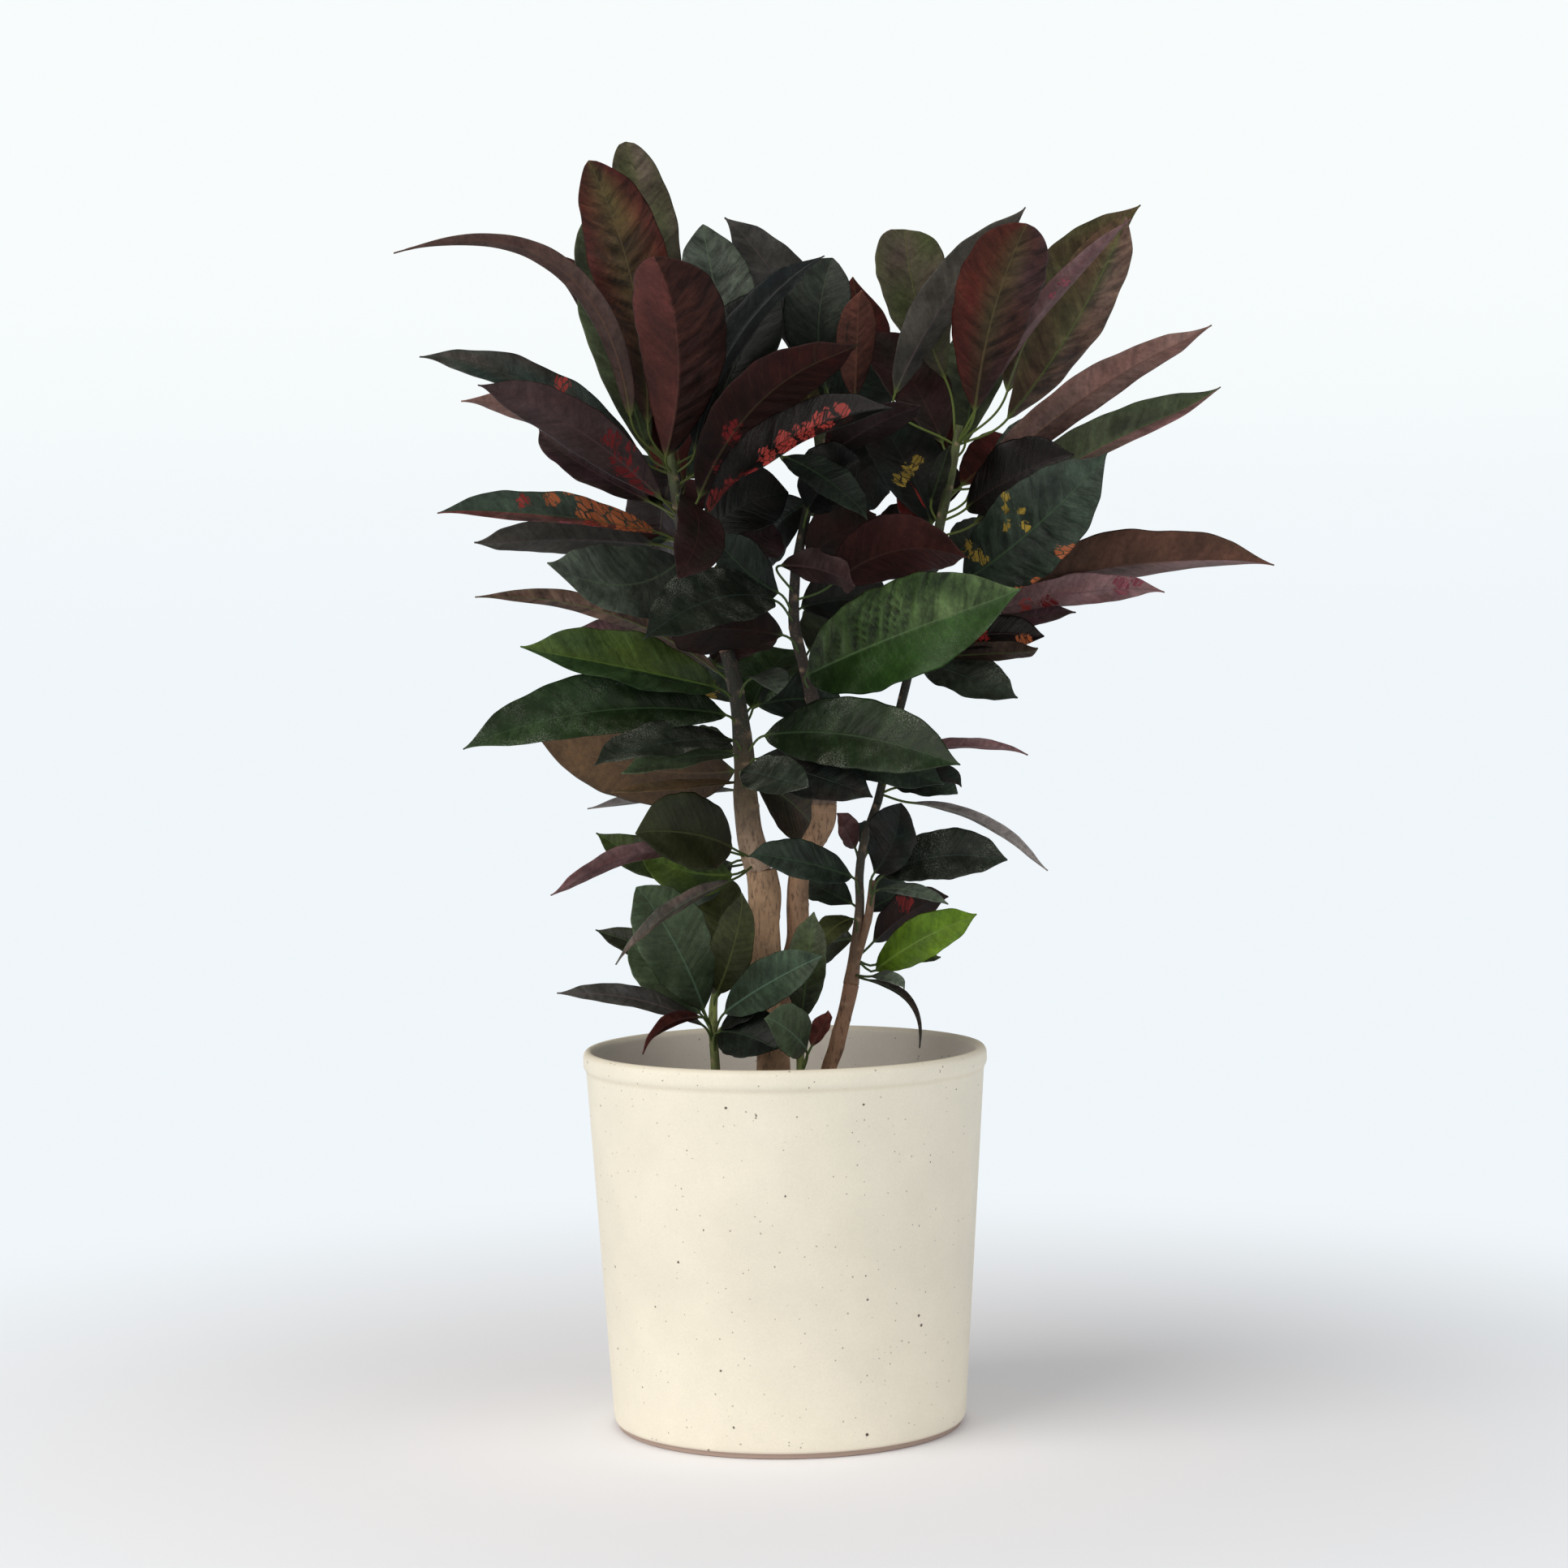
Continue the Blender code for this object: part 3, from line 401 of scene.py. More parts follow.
def mixHeight(x, y, lumps):
    # low waves and a mound as on the solid, with a rounded bump added for every lump, in mm
    waves = np.sin(0.21 * x + 1.3) * np.cos(0.17 * y) + 0.7 * np.sin(0.39 * y - 0.26 * x)
    waves = waves + 0.5 * np.cos(0.52 * x + 0.48 * y)
    mound = 1.0 - (np.hypot(x, y) / pot["baseRadius"]) ** 2
    gap = (x[..., None] - lumps[:, 0]) ** 2 + (y[..., None] - lumps[:, 1]) ** 2
    bumps = (lumps[:, 3] * np.exp(-gap / lumps[:, 2] ** 2)).sum(axis=-1)
    return mix["top"] + mix["relief"] * (0.35 * waves + 0.6 * mound) + bumps


def roundLump():
    # a sphere of latitude and longitude with its poles closed: few sides, so a crumb has few faces
    lat = np.linspace(0, math.pi, 6)[1:-1]
    lon = np.linspace(0, 2 * math.pi, 7, endpoint=False)
    ring = np.stack([np.sin(lat)[:, None] * np.cos(lon), np.sin(lat)[:, None] * np.sin(lon),
                     np.cos(lat)[:, None] + 0 * lon], axis=-1)
    points = np.concatenate([[[0, 0, 1]], ring.reshape(-1, 3), [[0, 0, -1]]])
    faces = []
    for k in range(7):
        n = (k + 1) % 7
        faces.append((0, 1 + k, 1 + n))
        faces += [(1 + 7 * r + k, 8 + 7 * r + k, 8 + 7 * r + n, 1 + 7 * r + n) for r in range(3)]
        faces.append((22 + k, 29, 22 + n))
    return points, faces


def scatter(rng, count, reach):
    # points spread evenly over a disc: radius = reach times the root of a draw, angle = a draw times a turn
    radius = reach * np.sqrt(rng.random(count))
    turn = rng.random(count) * 2 * math.pi
    return radius * np.cos(turn), radius * np.sin(turn)


def makeCrumbs(rng, reach, lumps, material):
    # bark crumbs and perlite beads lie on top: one lump copied, stretched, turned and placed as whole arrays
    base, lumpFaces = roundLump()
    count = mix["crumbs"]
    x, y = scatter(rng, count, reach)
    bead = rng.random(count) < mix["beads"]
    size = np.where(bead, rng.uniform(*mix["beadSize"], count), rng.uniform(*mix["crumbSize"], count))
    stretch = np.where(bead[:, None], rng.uniform(0.8, 1.2, (count, 3)), rng.uniform(0.35, 1.3, (count, 3)))
    shape = base[None] * stretch[:, None, :] * (1 + 0.18 * rng.standard_normal((count, len(base), 1)))
    spin = (rng.random(count) * 2 * math.pi)[:, None]
    tilt = rng.uniform(-0.6, 0.6, count)[:, None]
    x1 = shape[..., 0] * np.cos(spin) - shape[..., 1] * np.sin(spin)
    y1 = shape[..., 0] * np.sin(spin) + shape[..., 1] * np.cos(spin)
    x2 = x1 * np.cos(tilt) - shape[..., 2] * np.sin(tilt)
    z2 = x1 * np.sin(tilt) + shape[..., 2] * np.cos(tilt)
    centres = np.stack([x, y, mixHeight(x, y, lumps) + 0.25 * size], axis=1)
    points = (np.stack([x2, y1, z2], axis=-1) * size[:, None, None] + centres[:, None, :]) * mm
    faces = [tuple(np.add(face, k * len(base))) for k in range(count) for face in lumpFaces]
    shares = np.repeat(np.where(bead, 0.85, rng.uniform(0.0, 0.16, count)), len(base))
    addPiece("barkCrumbs", points, faces, material, {"stoneShare": shares})


def makeMix():
    # rings from the middle to the wall follow the height of the mix, and three more close it underneath
    rng = np.random.default_rng(mix["seed"])
    edge = innerRadius(mix["top"]) - 0.35
    x, y = scatter(rng, mix["lumps"], edge)
    size = rng.uniform(*mix["lumpSize"], mix["lumps"])
    lumps = np.stack([x, y, size, size * rng.uniform(-0.12, 0.26, mix["lumps"])], axis=1)
    turns = np.linspace(0, 2 * math.pi, mix["sides"], endpoint=False)
    low = pot["floor"] + 0.4
    rings = np.concatenate([np.linspace(0.5, edge, mix["rings"]),
                            [innerRadius(low + 4) - 2, innerRadius(low) - 8, 0.5]])
    x, y = rings[:, None] * np.cos(turns), rings[:, None] * np.sin(turns)
    z = np.concatenate([mixHeight(x[:mix["rings"]], y[:mix["rings"]], lumps),
                        np.repeat([[low + 4], [low], [low]], mix["sides"], axis=1)])
    faces = [face[::-1] for face in closedGridFaces(len(rings), mix["sides"])]
    material = mixMaterial()
    addPiece("pottingMix", np.stack([x, y, z], axis=-1) * mm, faces, material,
             {"stoneShare": np.zeros(x.size)}, ["potting_soil"])
    makeCrumbs(rng, edge - 4, lumps, material)


makeMix()
print("pot is filled with potting mix")


# sizes in mm; knots: how far the wood swells, as a share; patch, fissure and pore: how many to a metre
stemLook = {
    "step": 1.6, "sides": 30, "scarGap": 7.5, "scarHeight": 0.45, "knots": 0.045, "patches": 70.0,
    "patchTone": (0.70, 1.36), "fissures": 620.0, "pores": 330.0, "fissure": "#4f3c31", "scar": "#b8987a",
    "scarPale": 0.5, "roughness": (0.62, 0.85), "relief": 0.55,
}

# each stem: points (x, y, z, radius) in mm from the bottom up, and its colours from the bottom to the top; the
# near-black colours high up among the leaves are painted shade
stems = {
    "leftArm": {
        "path": [(-6, 0, 110, 8.5), (-6, 0, 172, 8.5), (-7, 0, 200, 8.4), (-9, 0, 228, 8),
                 (-10, 0, 255, 8.6), (-9.5, 0, 276, 8.4), (-11, 0, 288, 7.8)],
        "tintsAndShade": ["#8e705a", "#a98768", "#ad8b6c"],
    },
    "rightArm": {
        "path": [(-4, 1, 200, 6.5), (2, 2, 232, 6), (7, 4, 252, 5.6), (8.5, 5, 284, 5.6), (15, 6, 300, 5.8),
                 (21.5, 7, 312, 6.2), (22.5, 8, 322, 6.4)],
        "tintsAndShade": ["#785747", "#9f7c60", "#a98669"],
    },
    "slimTrunk": {
        "path": [(21, -2, 110, 4.2), (21, -2, 172, 4.2), (27, -2, 196, 4), (31.5, -1, 213, 3.8),
                 (35, 0, 228, 4)],
        "tintsAndShade": ["#8a6c54", "#a07c60", "#906c54"],
    },
    "whorlLeft": {
        "path": [(-11, 0, 288, 7.8), (-15, 0, 301, 7.2), (-18, 0, 320, 6.6), (-19, 0, 345, 5.4),
                 (-20.5, 0, 365, 4.6), (-23, 0, 385, 4.2), (-27, 0, 402, 3.6)],
        # painted shade: this stem turns near black towards its top, where the leaves shade it
        "tintsAndShade": ["#a58b76", "#5e4e36", "#24261a", "#1a1a14"],
    },
    "crownLeft": {
        "path": [(-27, 0, 402, 3.6), (-35, 0, 420, 3.3), (-43, 0, 445, 3.2), (-50, 0, 470, 3),
                 (-53, 0, 490, 2.8), (-55, 0, 508, 2.2)],
        "tintsAndShade": ["#5e4438", "#3a2c26", "#2a2a1e", "#4c5630"],
    },
    "spray": {
        "path": [(22.5, 8, 322, 6.4), (22, 8, 350, 4.4), (15, 8, 385, 3.2), (9, 8, 410, 3),
                 (8, 8, 425, 2.8), (9, 11, 442, 2.6)],
        # painted shade: this stem turns near black above its foot, where the leaves shade it
        "tintsAndShade": ["#7a6456", "#2c241e", "#1c1b16"],
    },
    "crownBack": {
        "path": [(9, 11, 442, 2.6), (13, 16, 462, 2.5), (20, 21, 495, 2.4), (27, 23, 532, 2.2)],
        "tintsAndShade": ["#2e2c24", "#2c3024", "#4c5630"],
    },
    "whorlRight": {
        "path": [(35, 0, 228, 4), (37, 0, 242, 3.2), (40, 0, 268, 2.4), (40, 0, 285, 2.2),
                 (43, 0, 303, 2.2), (50, 0, 322, 2.2)],
        "tintsAndShade": ["#8a6a52", "#3c382e", "#2a2b22"],
    },
    "rightTwig": {
        "path": [(36, 0, 236, 2.6), (40, -1, 248, 2.4), (44.5, -2, 264, 2.2), (47, -2, 282, 1.8)],
        "tintsAndShade": ["#84644c", "#6c5240"],
    },
    "crownRight": {
        "path": [(50, 0, 322, 2.2), (62, 7, 370, 2.2), (75, 7, 420, 2.4), (84, 0, 465, 2.6),
                 (90, -2, 490, 2.5), (95, -2, 517, 2.1)],
        # painted shade: this stem is near black where it runs among the leaves
        "tintsAndShade": ["#2a2b22", "#24251e", "#2c2f20", "#5a6634"],
    },
    "shootLeft": {
        "path": [(-36, -5, 110, 2.4), (-36, -5, 172, 2.4), (-37, -5, 200, 2.4), (-37, -5, 216, 2.2),
                 (-36, -5, 224, 1.8)],
        "tintsAndShade": ["#55462f", "#4c5236", "#7f8c4c"],
    },
    "shootMiddle": {
        "path": [(8, -26, 110, 2.2), (8, -26, 172, 2.2), (8, -27, 195, 2), (8, -28, 208, 1.8)],
        "tintsAndShade": ["#55462f", "#4c5236", "#7f8c4c"],
    },
}


def stemLine(name, step):
    # Catmull-Rom through the points, with the radius: 0.5 (2b + (c-a)t + (2a-5b+4c-d)t2 + (3b-a-3c+d)t3)
    table = np.array(stems[name]["path"], float)
    knots = seenPoint(table[:, 0], table[:, 1], table[:, 2])
    padded = np.vstack([2 * knots[0] - knots[1], knots, 2 * knots[-1] - knots[-2]])
    line, radii = [knots[:1]], [table[:1, 3]]
    for i in range(len(knots) - 1):
        a, b, c, d = padded[i:i + 4]
        t = np.linspace(0, 1, max(2, round(np.linalg.norm(c - b) / mm / step)) + 1)[1:, None]
        line.append(0.5 * (2 * b + (c - a) * t + (2 * a - 5 * b + 4 * c - d) * t ** 2
                           + (3 * b - a - 3 * c + d) * t ** 3))
        radii.append((table[i, 3] + (table[i + 1, 3] - table[i, 3]) * t)[:, 0])
    return np.concatenate(line), np.concatenate(radii) * mm


def barkMaterial():
    # young croton wood: smooth corky bark with lenticels and leaf scars, greener towards the soft tips, and
    # painted shade, near black, where a stem runs up among the leaves
    material, tree, shader = newMaterial("crotonBark")
    place = objectPlace(tree)
    tall = addNode(tree, "Mapping", Vector=place, Scale=(1.0, 1.0, 0.28))
    flat = addNode(tree, "Mapping", Vector=place, Scale=(1.0, 1.0, 2.6))
    patch = noise(tree, place, stemLook["patches"], 4.0, 0.6)
    dark = remap(tree, noise(tree, tall, stemLook["fissures"], 6.0, 0.7), 0.52, 0.66, 0.0, 0.75)
    body = shaded(tree, stored(tree, "barkTintAndShade"), remap(tree, patch, 0.3, 0.7, *stemLook["patchTone"]))
    split = blend(tree, dark, body, stemLook["fissure"])
    cells = addNode(tree, "TexVoronoi", Vector=flat, Scale=stemLook["pores"])
    pore = remap(tree, cells, 0.10, 0.24, 0.45, 0.0)
    light = maths(tree, "MAXIMUM", pore, (stored(tree, "scarShare"), "Fac"))
    done = blend(tree, maths(tree, "MULTIPLY", light, stemLook["scarPale"]), split, stemLook["scar"])
    height = maths(tree, "SUBTRACT", pore, dark)
    setSockets(tree, shader, Base_Color=done,
               Roughness=remap(tree, patch, 0.0, 1.0, *stemLook["roughness"]),
               Normal=addNode(tree, "Bump", Strength=stemLook["relief"], Distance=0.0005, Height=height))
    return material


bark = barkMaterial()


def stemTube(name, seed):
    # circles carried along the path: place = centre + r(a, s) (u cos a + v sin a); r swells in slow waves
    # and at each leaf scar, a crescent on the golden angle
    line, radii = stemLine(name, stemLook["step"])
    rng = np.random.default_rng(seed)
    ahead = unitRows(np.gradient(line, axis=0))
    across = unitRows(np.cross(ahead, [0.0, 1.0, 0.0]))
    back = np.cross(across, ahead)
    turns = np.linspace(0, 2 * math.pi, stemLook["sides"], endpoint=False)
    reached = pathRun(line) / mm
    scarsAt = np.arange(4.0, reached[-1], stemLook["scarGap"])
    scarTurn = 2.4 * np.arange(len(scarsAt)) + rng.uniform(-0.3, 0.3, len(scarsAt)) + seed
    turnGap = (turns[None, :, None] - scarTurn + math.pi) % (2 * math.pi) - math.pi
    bow = reached[:, None, None] - scarsAt + 1.3 * turnGap ** 2
    crescent = np.exp(-(bow / 0.9) ** 2 - (turnGap / 0.62) ** 2).max(axis=-1)
    run = reached[:, None]
    swell = (stemLook["knots"] * np.sin(run / 6.3 + seed) * np.cos(2 * turns + run / 23)
             + 0.03 * np.sin(3 * turns + run / 15 + seed) + 0.02 * np.sin(7 * turns - run / 4.1))
    scarRise = stemLook["scarHeight"] * mm * crescent * np.clip(radii[:, None] / 0.006, 0.4, 1)
    reach = radii[:, None] * (1 + swell) + scarRise
    ring = across[:, None, :] * np.cos(turns)[:, None] + back[:, None, :] * np.sin(turns)[:, None]
    points = line[:, None, :] + ring * reach[..., None]
    tintsAndShade = np.array([linearColour(t) for t in stems[name]["tintsAndShade"]])
    stops = np.linspace(0, 1, len(tintsAndShade))
    tint = np.stack([np.interp(reached / reached[-1], stops, tintsAndShade[:, k]) for k in range(3)], axis=1)
    tint = np.repeat(np.concatenate([tint, np.ones((len(tint), 1))], axis=1), len(turns), axis=0)
    return points, {"scarShare": crescent.reshape(-1, 1), "barkTintAndShade": tint}


def joinGrids(grids):
    # several closed grids with their point attributes become one list of points, faces and attributes
    points, faces, gathered, start = [], [], {}, 0
    for grid, attributes in grids:
        rows, columns = grid.shape[:2]
        faces += closedGridFaces(rows, columns, start)
        start += rows * columns
        points.append(grid.reshape(-1, 3))
        for key, values in attributes.items():
            gathered.setdefault(key, []).append(values.reshape(rows * columns, -1))
    return np.concatenate(points), faces, {key: np.concatenate(values) for key, values in gathered.items()}


def makeStems(pieceName, names, node):
    tubes = [stemTube(name, seed + len(pieceName)) for seed, name in enumerate(names)]
    points, faces, attributes = joinGrids(tubes)
    attributes["scarShare"] = attributes["scarShare"][:, 0]
    addPiece(pieceName, points, faces, bark, attributes, [node])


makeStems("trunkTwoArms", ["leftArm", "rightArm"], "trunk_main")
makeStems("trunkSlim", ["slimTrunk"], "trunk_slim")
print("trunks have their bark")


# what each kind of leaf looks like: upper face, underside, the second pigment that clouds them, rib, depth of
# its pleats in mm, dust from 0 to 1
lookParts = ("upper", "under", "flush", "rib", "pleat", "dust")
leafLooks = {
    "maroon":      ("#401d21", "#592e2c", "#381e1a", "#5f4038", 0.45, 0.1),
    "wine":        ("#49191a", "#4d1d1a", "#381f15", "#66583a", 0.75, 0.08),
    "mauve":       ("#47353a", "#574549", "#472e31", "#64484a", 0.3, 0.12),
    "mauveBrown":  ("#443333", "#544442", "#4f3734", "#664838", 0.3, 0.12),
    "plum":        ("#2a1b22", "#37252a", "#24211f", "#482e30", 0.35, 0.1),
    # painted shade: near black, partly the leaves' own dark colour and partly the shade deep in the crown
    "nearBlack":   ("#182220", "#241f1e", "#231c1c", "#2a332a", 0.45, 0.12),
    "blackRed":    ("#281719", "#331d1b", "#1b1c19", "#3f2824", 0.35, 0.1),
    "darkGreen":   ("#243029", "#3a2622", "#1e2322", "#3a5034", 0.55, 0.12),
    "dustyGreen":  ("#253a21", "#3d3223", "#202c1b", "#42583a", 0.45, 0.75),
    "dustyDark":   ("#212a23", "#322823", "#1c201c", "#34403a", 0.4, 0.9),
    # painted sheen: the grey of the grey green and grey mauve looks is partly the sheen of lit waxy faces
    "greyGreen":   ("#3e4841", "#4e4240", "#323a37", "#5c6a52", 0.6, 0.25),
    "greyBlue":    ("#293439", "#3c3437", "#1f2625", "#42504e", 0.35, 0.2),
    "greyMauve":   ("#424345", "#504e4b", "#363733", "#605254", 0.3, 0.25),
    # painted sheen: the rich green's pale upper face is partly the sheen on the ridges of a lit pleated face
    "richGreen":   ("#465b39", "#414428", "#233b19", "#58764a", 0.9, 0.3),
    "midGreen":    ("#323c29", "#41352d", "#262a24", "#4e6438", 0.45, 0.15),
    "brightGreen": ("#425526", "#505333", "#2e3f2a", "#66803a", 0.45, 0.12),
    "limeGreen":   ("#678d1d", "#73882f", "#53791b", "#86a648", 0.25, 0.05),
    "blueGreen":   ("#314336", "#473e33", "#2a3328", "#5c7a68", 0.55, 0.15),
    "sage":        ("#3a4937", "#4e4f3a", "#2f3a2c", "#5c7660", 0.35, 0.25),
    "olive":       ("#343b21", "#3f3e25", "#2a2e1b", "#5c6034", 0.4, 0.12),
    "oliveMauve":  ("#394028", "#454637", "#4b403f", "#5c6034", 0.4, 0.12),
    "oliveBrown":  ("#373723", "#54443d", "#3d2a23", "#586a34", 0.6, 0.1),
    "brown":       ("#443d2e", "#654f38", "#54402d", "#6e5844", 0.2, 0.08),
    "russet":      ("#382a25", "#4a332b", "#392921", "#604438", 0.25, 0.08),
    "rust":        ("#452c29", "#53322b", "#3c2622", "#6b4836", 0.65, 0.08),
    "ember":       ("#5c1618", "#6e1e1c", "#421a18", "#7a3a2c", 0.3, 0.05),
    "ochre":       ("#6a5226", "#77602c", "#5c5a2a", "#8a7840", 0.2, 0.05),
    "ashen":       ("#908b90", "#989498", "#848385", "#a8a496", 0.2, 0.06),
}

# colours of the patches that croton leaves carry
patchTints = {
    "red": "#741e1e", "coral": "#8a302b", "orange": "#965230", "yellow": "#927a32", "pink": "#8a4450",
    "deepRed": "#601517", "lime": "#7d9a3e",
}

# how every blade is built, in mm and degrees, how its pigment lies, and how much painted shade and light it
# carries, as shares
bladeShape = {
    "fold": 14.0, "foldSpread": (-3, 4), "twistSpread": 10, "droop": 0.05, "wave": (0.015, 0.045),
    "waveCount": (1.6, 3.2), "hookSpread": 2.5, "hookFrom": 0.86, "riseFrom": 0.75, "riseTo": 0.90,
    "fallFrom": 0.80, "fallTo": 0.38, "tipFrom": 0.86, "tipPinch": 0.75, "blade": 0.30, "stalkRadius": 0.64,
    "ribHeight": 0.60, "veinGap": 8.0, "veinSlant": 0.60, "rootDrop": 11.0, "rootMargin": 5.0, "step": 1.7,
    "pigment": 0.69, "warmth": (1.06, 0.98, 0.88), "cloudShare": 0.75, "pleatShade": 0.65, "rootShade": 0.50,
    "tipPale": 0.30,
}

# the skin: clouds of each noise to a metre and the lightness that they range over; the edge of a vein as a
# share of the gap, and of the midrib in mm; how fine wrinkles and cells are, across in 1/mm and along per vein;
# how rare bare cells are, and their walls; how far ribs and veins show, how strongly light and shade are
# painted on the wrinkles, and how it all shines
leafSkin = {
    "clouds": 45.0, "flecks": 420.0, "grit": 1500.0, "cloudTone": (0.68, 1.36), "fleckTone": (0.80, 1.20),
    "vein": (0.015, 0.085), "veinWobble": 0.9, "veinPale": 0.14, "rib": (0.45, 0.95), "ribTip": 0.32,
    "ribPale": 0.50, "wrinkle": (0.07, 1.35), "wrinkleShading": 0.55, "cell": (0.15, 2.4), "rare": (1.32, 1.44),
    "cellWall": (0.02, 0.10), "cellTone": (0.70, 1.15), "dust": "#9c9c92", "glossy": 0.32, "matt": 0.50,
    "shine": 0.20, "relief": 0.35,
}

# places across a blade from the midrib to the margin, close together at both
halfAcross = np.array([0.0, 0.07, 0.17, 0.30, 0.44, 0.58, 0.72, 0.85, 0.95, 1.0])
acrossTop = np.concatenate([-halfAcross[:0:-1], halfAcross])
acrossUnder = acrossTop[-2:0:-1]


def gridPlace(tree, across, veins, fine):
    # a flat place on the blade: across times the first value, veins passed times the second
    return addNode(tree, "CombineXYZ", X=maths(tree, "MULTIPLY", across, fine[0]),
                   Y=maths(tree, "MULTIPLY", veins, fine[1]))


def leafMaterial():
    # living croton leaf under a thick cuticle: a waxy sheen over dark pigment, sunken side veins,
    # a raised midrib, patches of bare red, orange or yellow that the veins cut up, and pot dust on old leaves
    material, tree, shader = newMaterial("waxyCrotonLeaf")
    place = objectPlace(tree)
    tint, ribTint, patchTint = [stored(tree, name) for name in ("leafTint", "ribTint", "patchTint")]
    grid, cover = [addNode(tree, "SeparateXYZ", Vector=(stored(tree, name), "Vector"))
                   for name in ("leafGrid", "leafCover")]
    across, veins, along = [(grid, k) for k in range(3)]
    dust, under, stalk = [(cover, k) for k in range(3)]
    cloud = noise(tree, place, leafSkin["clouds"], 4.0, 0.6)
    fleck = noise(tree, place, leafSkin["flecks"], 3.0, 0.65)
    grit = noise(tree, place, leafSkin["grit"], 2.0, 0.8)

    # side veins: the count of veins passed is a whole number on each one
    gap = maths(tree, "PINGPONG", maths(tree, "MULTIPLY_ADD", cloud, leafSkin["veinWobble"], veins), 0.5)
    vein = remap(tree, gap, *leafSkin["vein"], 1.0, 0.0, "SMOOTHSTEP")
    ribWide = remap(tree, along, 0.0, 1.0, 1.0, leafSkin["ribTip"])
    offRib = maths(tree, "DIVIDE", maths(tree, "ABSOLUTE", across), ribWide)
    rib = remap(tree, offRib, *leafSkin["rib"], 1.0, 0.0, "SMOOTHSTEP")

    # wrinkles: soft uneven streaks that run out with the side veins, in the relief and in the colour: painted
    # light on their crests and painted shade between them
    slanted = gridPlace(tree, across, veins, leafSkin["wrinkle"])
    swing = remap(tree, noise(tree, slanted, 1.0, 4.0, 0.6, 0.5), 0.30, 0.70, -1.0, 1.0)
    wrinkle = maths(tree, "MULTIPLY", swing, (tint, "Alpha"))
    crestShading = maths(tree, "MULTIPLY_ADD", wrinkle, leafSkin["wrinkleShading"], 1.0)

    # pigment: slow clouds, flecks and a fine net of cells
    mottle = maths(tree, "MULTIPLY", remap(tree, cloud, 0.3, 0.7, *leafSkin["cloudTone"]),
                   remap(tree, fleck, 0.3, 0.7, *leafSkin["fleckTone"]))
    body = shaded(tree, tint, maths(tree, "MULTIPLY", mottle, crestShading))
    veinShare = maths(tree, "MULTIPLY", vein, remap(tree, cloud, 0.38, 0.62, 0.0, leafSkin["veinPale"]))
    veined = blend(tree, veinShare, body, ribTint)

    # patches: whole cells between the veins turn bare, more of them where the painted share is high
    flat = gridPlace(tree, across, veins, leafSkin["cell"])
    bent = addNode(tree, "VectorMath", {"operation": "MULTIPLY_ADD"}, i0=(fleck, "Color"), i1=(0.5, 0.5, 0.0),
                   i2=flat)
    pick = addNode(tree, "TexVoronoi", Vector=bent, Scale=1.0)
    rim = addNode(tree, "TexVoronoi", {"feature": "DISTANCE_TO_EDGE"}, Vector=bent, Scale=1.0)
    chance = addNode(tree, "SeparateColor", Color=(pick, "Color"))
    lucky = maths(tree, "MULTIPLY_ADD", (chance, 0), 0.70, fleck)
    reach = maths(tree, "MULTIPLY_ADD", (patchTint, "Alpha"), 1.25, lucky)
    bare = remap(tree, reach, *leafSkin["rare"], kind="SMOOTHSTEP")
    walls = remap(tree, (rim, "Distance"), *leafSkin["cellWall"], kind="SMOOTHSTEP")
    painted = maths(tree, "GREATER_THAN", (patchTint, "Alpha"), 0.02)
    patchShare = maths(tree, "MULTIPLY", maths(tree, "MULTIPLY", bare, walls), painted)
    patchTone = shaded(tree, patchTint, remap(tree, (chance, 1), 0.0, 1.0, *leafSkin["cellTone"]))
    patched = blend(tree, patchShare, veined, patchTone)
    ribbed = blend(tree, maths(tree, "MULTIPLY", rib, leafSkin["ribPale"]), patched, ribTint)
    fresh = blend(tree, stalk, ribbed, ribTint)

    # dust and lime scale: specks and streaks that lie on the older upper faces
    lying = maths(tree, "MULTIPLY", remap(tree, grit, 0.50, 0.70), remap(tree, cloud, 0.47, 0.62))
    dusted = maths(tree, "MULTIPLY", lying, dust)
    gloss = remap(tree, cloud, 0.3, 0.7, leafSkin["glossy"], leafSkin["matt"])
    dull = maths(tree, "MULTIPLY_ADD", under, 0.20, maths(tree, "MULTIPLY_ADD", dusted, 0.5, gloss))

    # relief: veins sink, the rib stands up, the cells and pores make a soft grain
    folds = maths(tree, "MULTIPLY_ADD", wrinkle, 1.4, maths(tree, "MULTIPLY_ADD", rib, 0.9, gap))
    pebble = maths(tree, "MULTIPLY_ADD", fleck, 0.35, folds)
    setSockets(tree, shader, Base_Color=blend(tree, dusted, fresh, leafSkin["dust"]), Roughness=dull,
               IOR=1.45, Specular_IOR_Level=leafSkin["shine"],
               Normal=addNode(tree, "Bump", Strength=leafSkin["relief"], Distance=0.0005, Height=pebble))
    return material


waxyLeaf = leafMaterial()
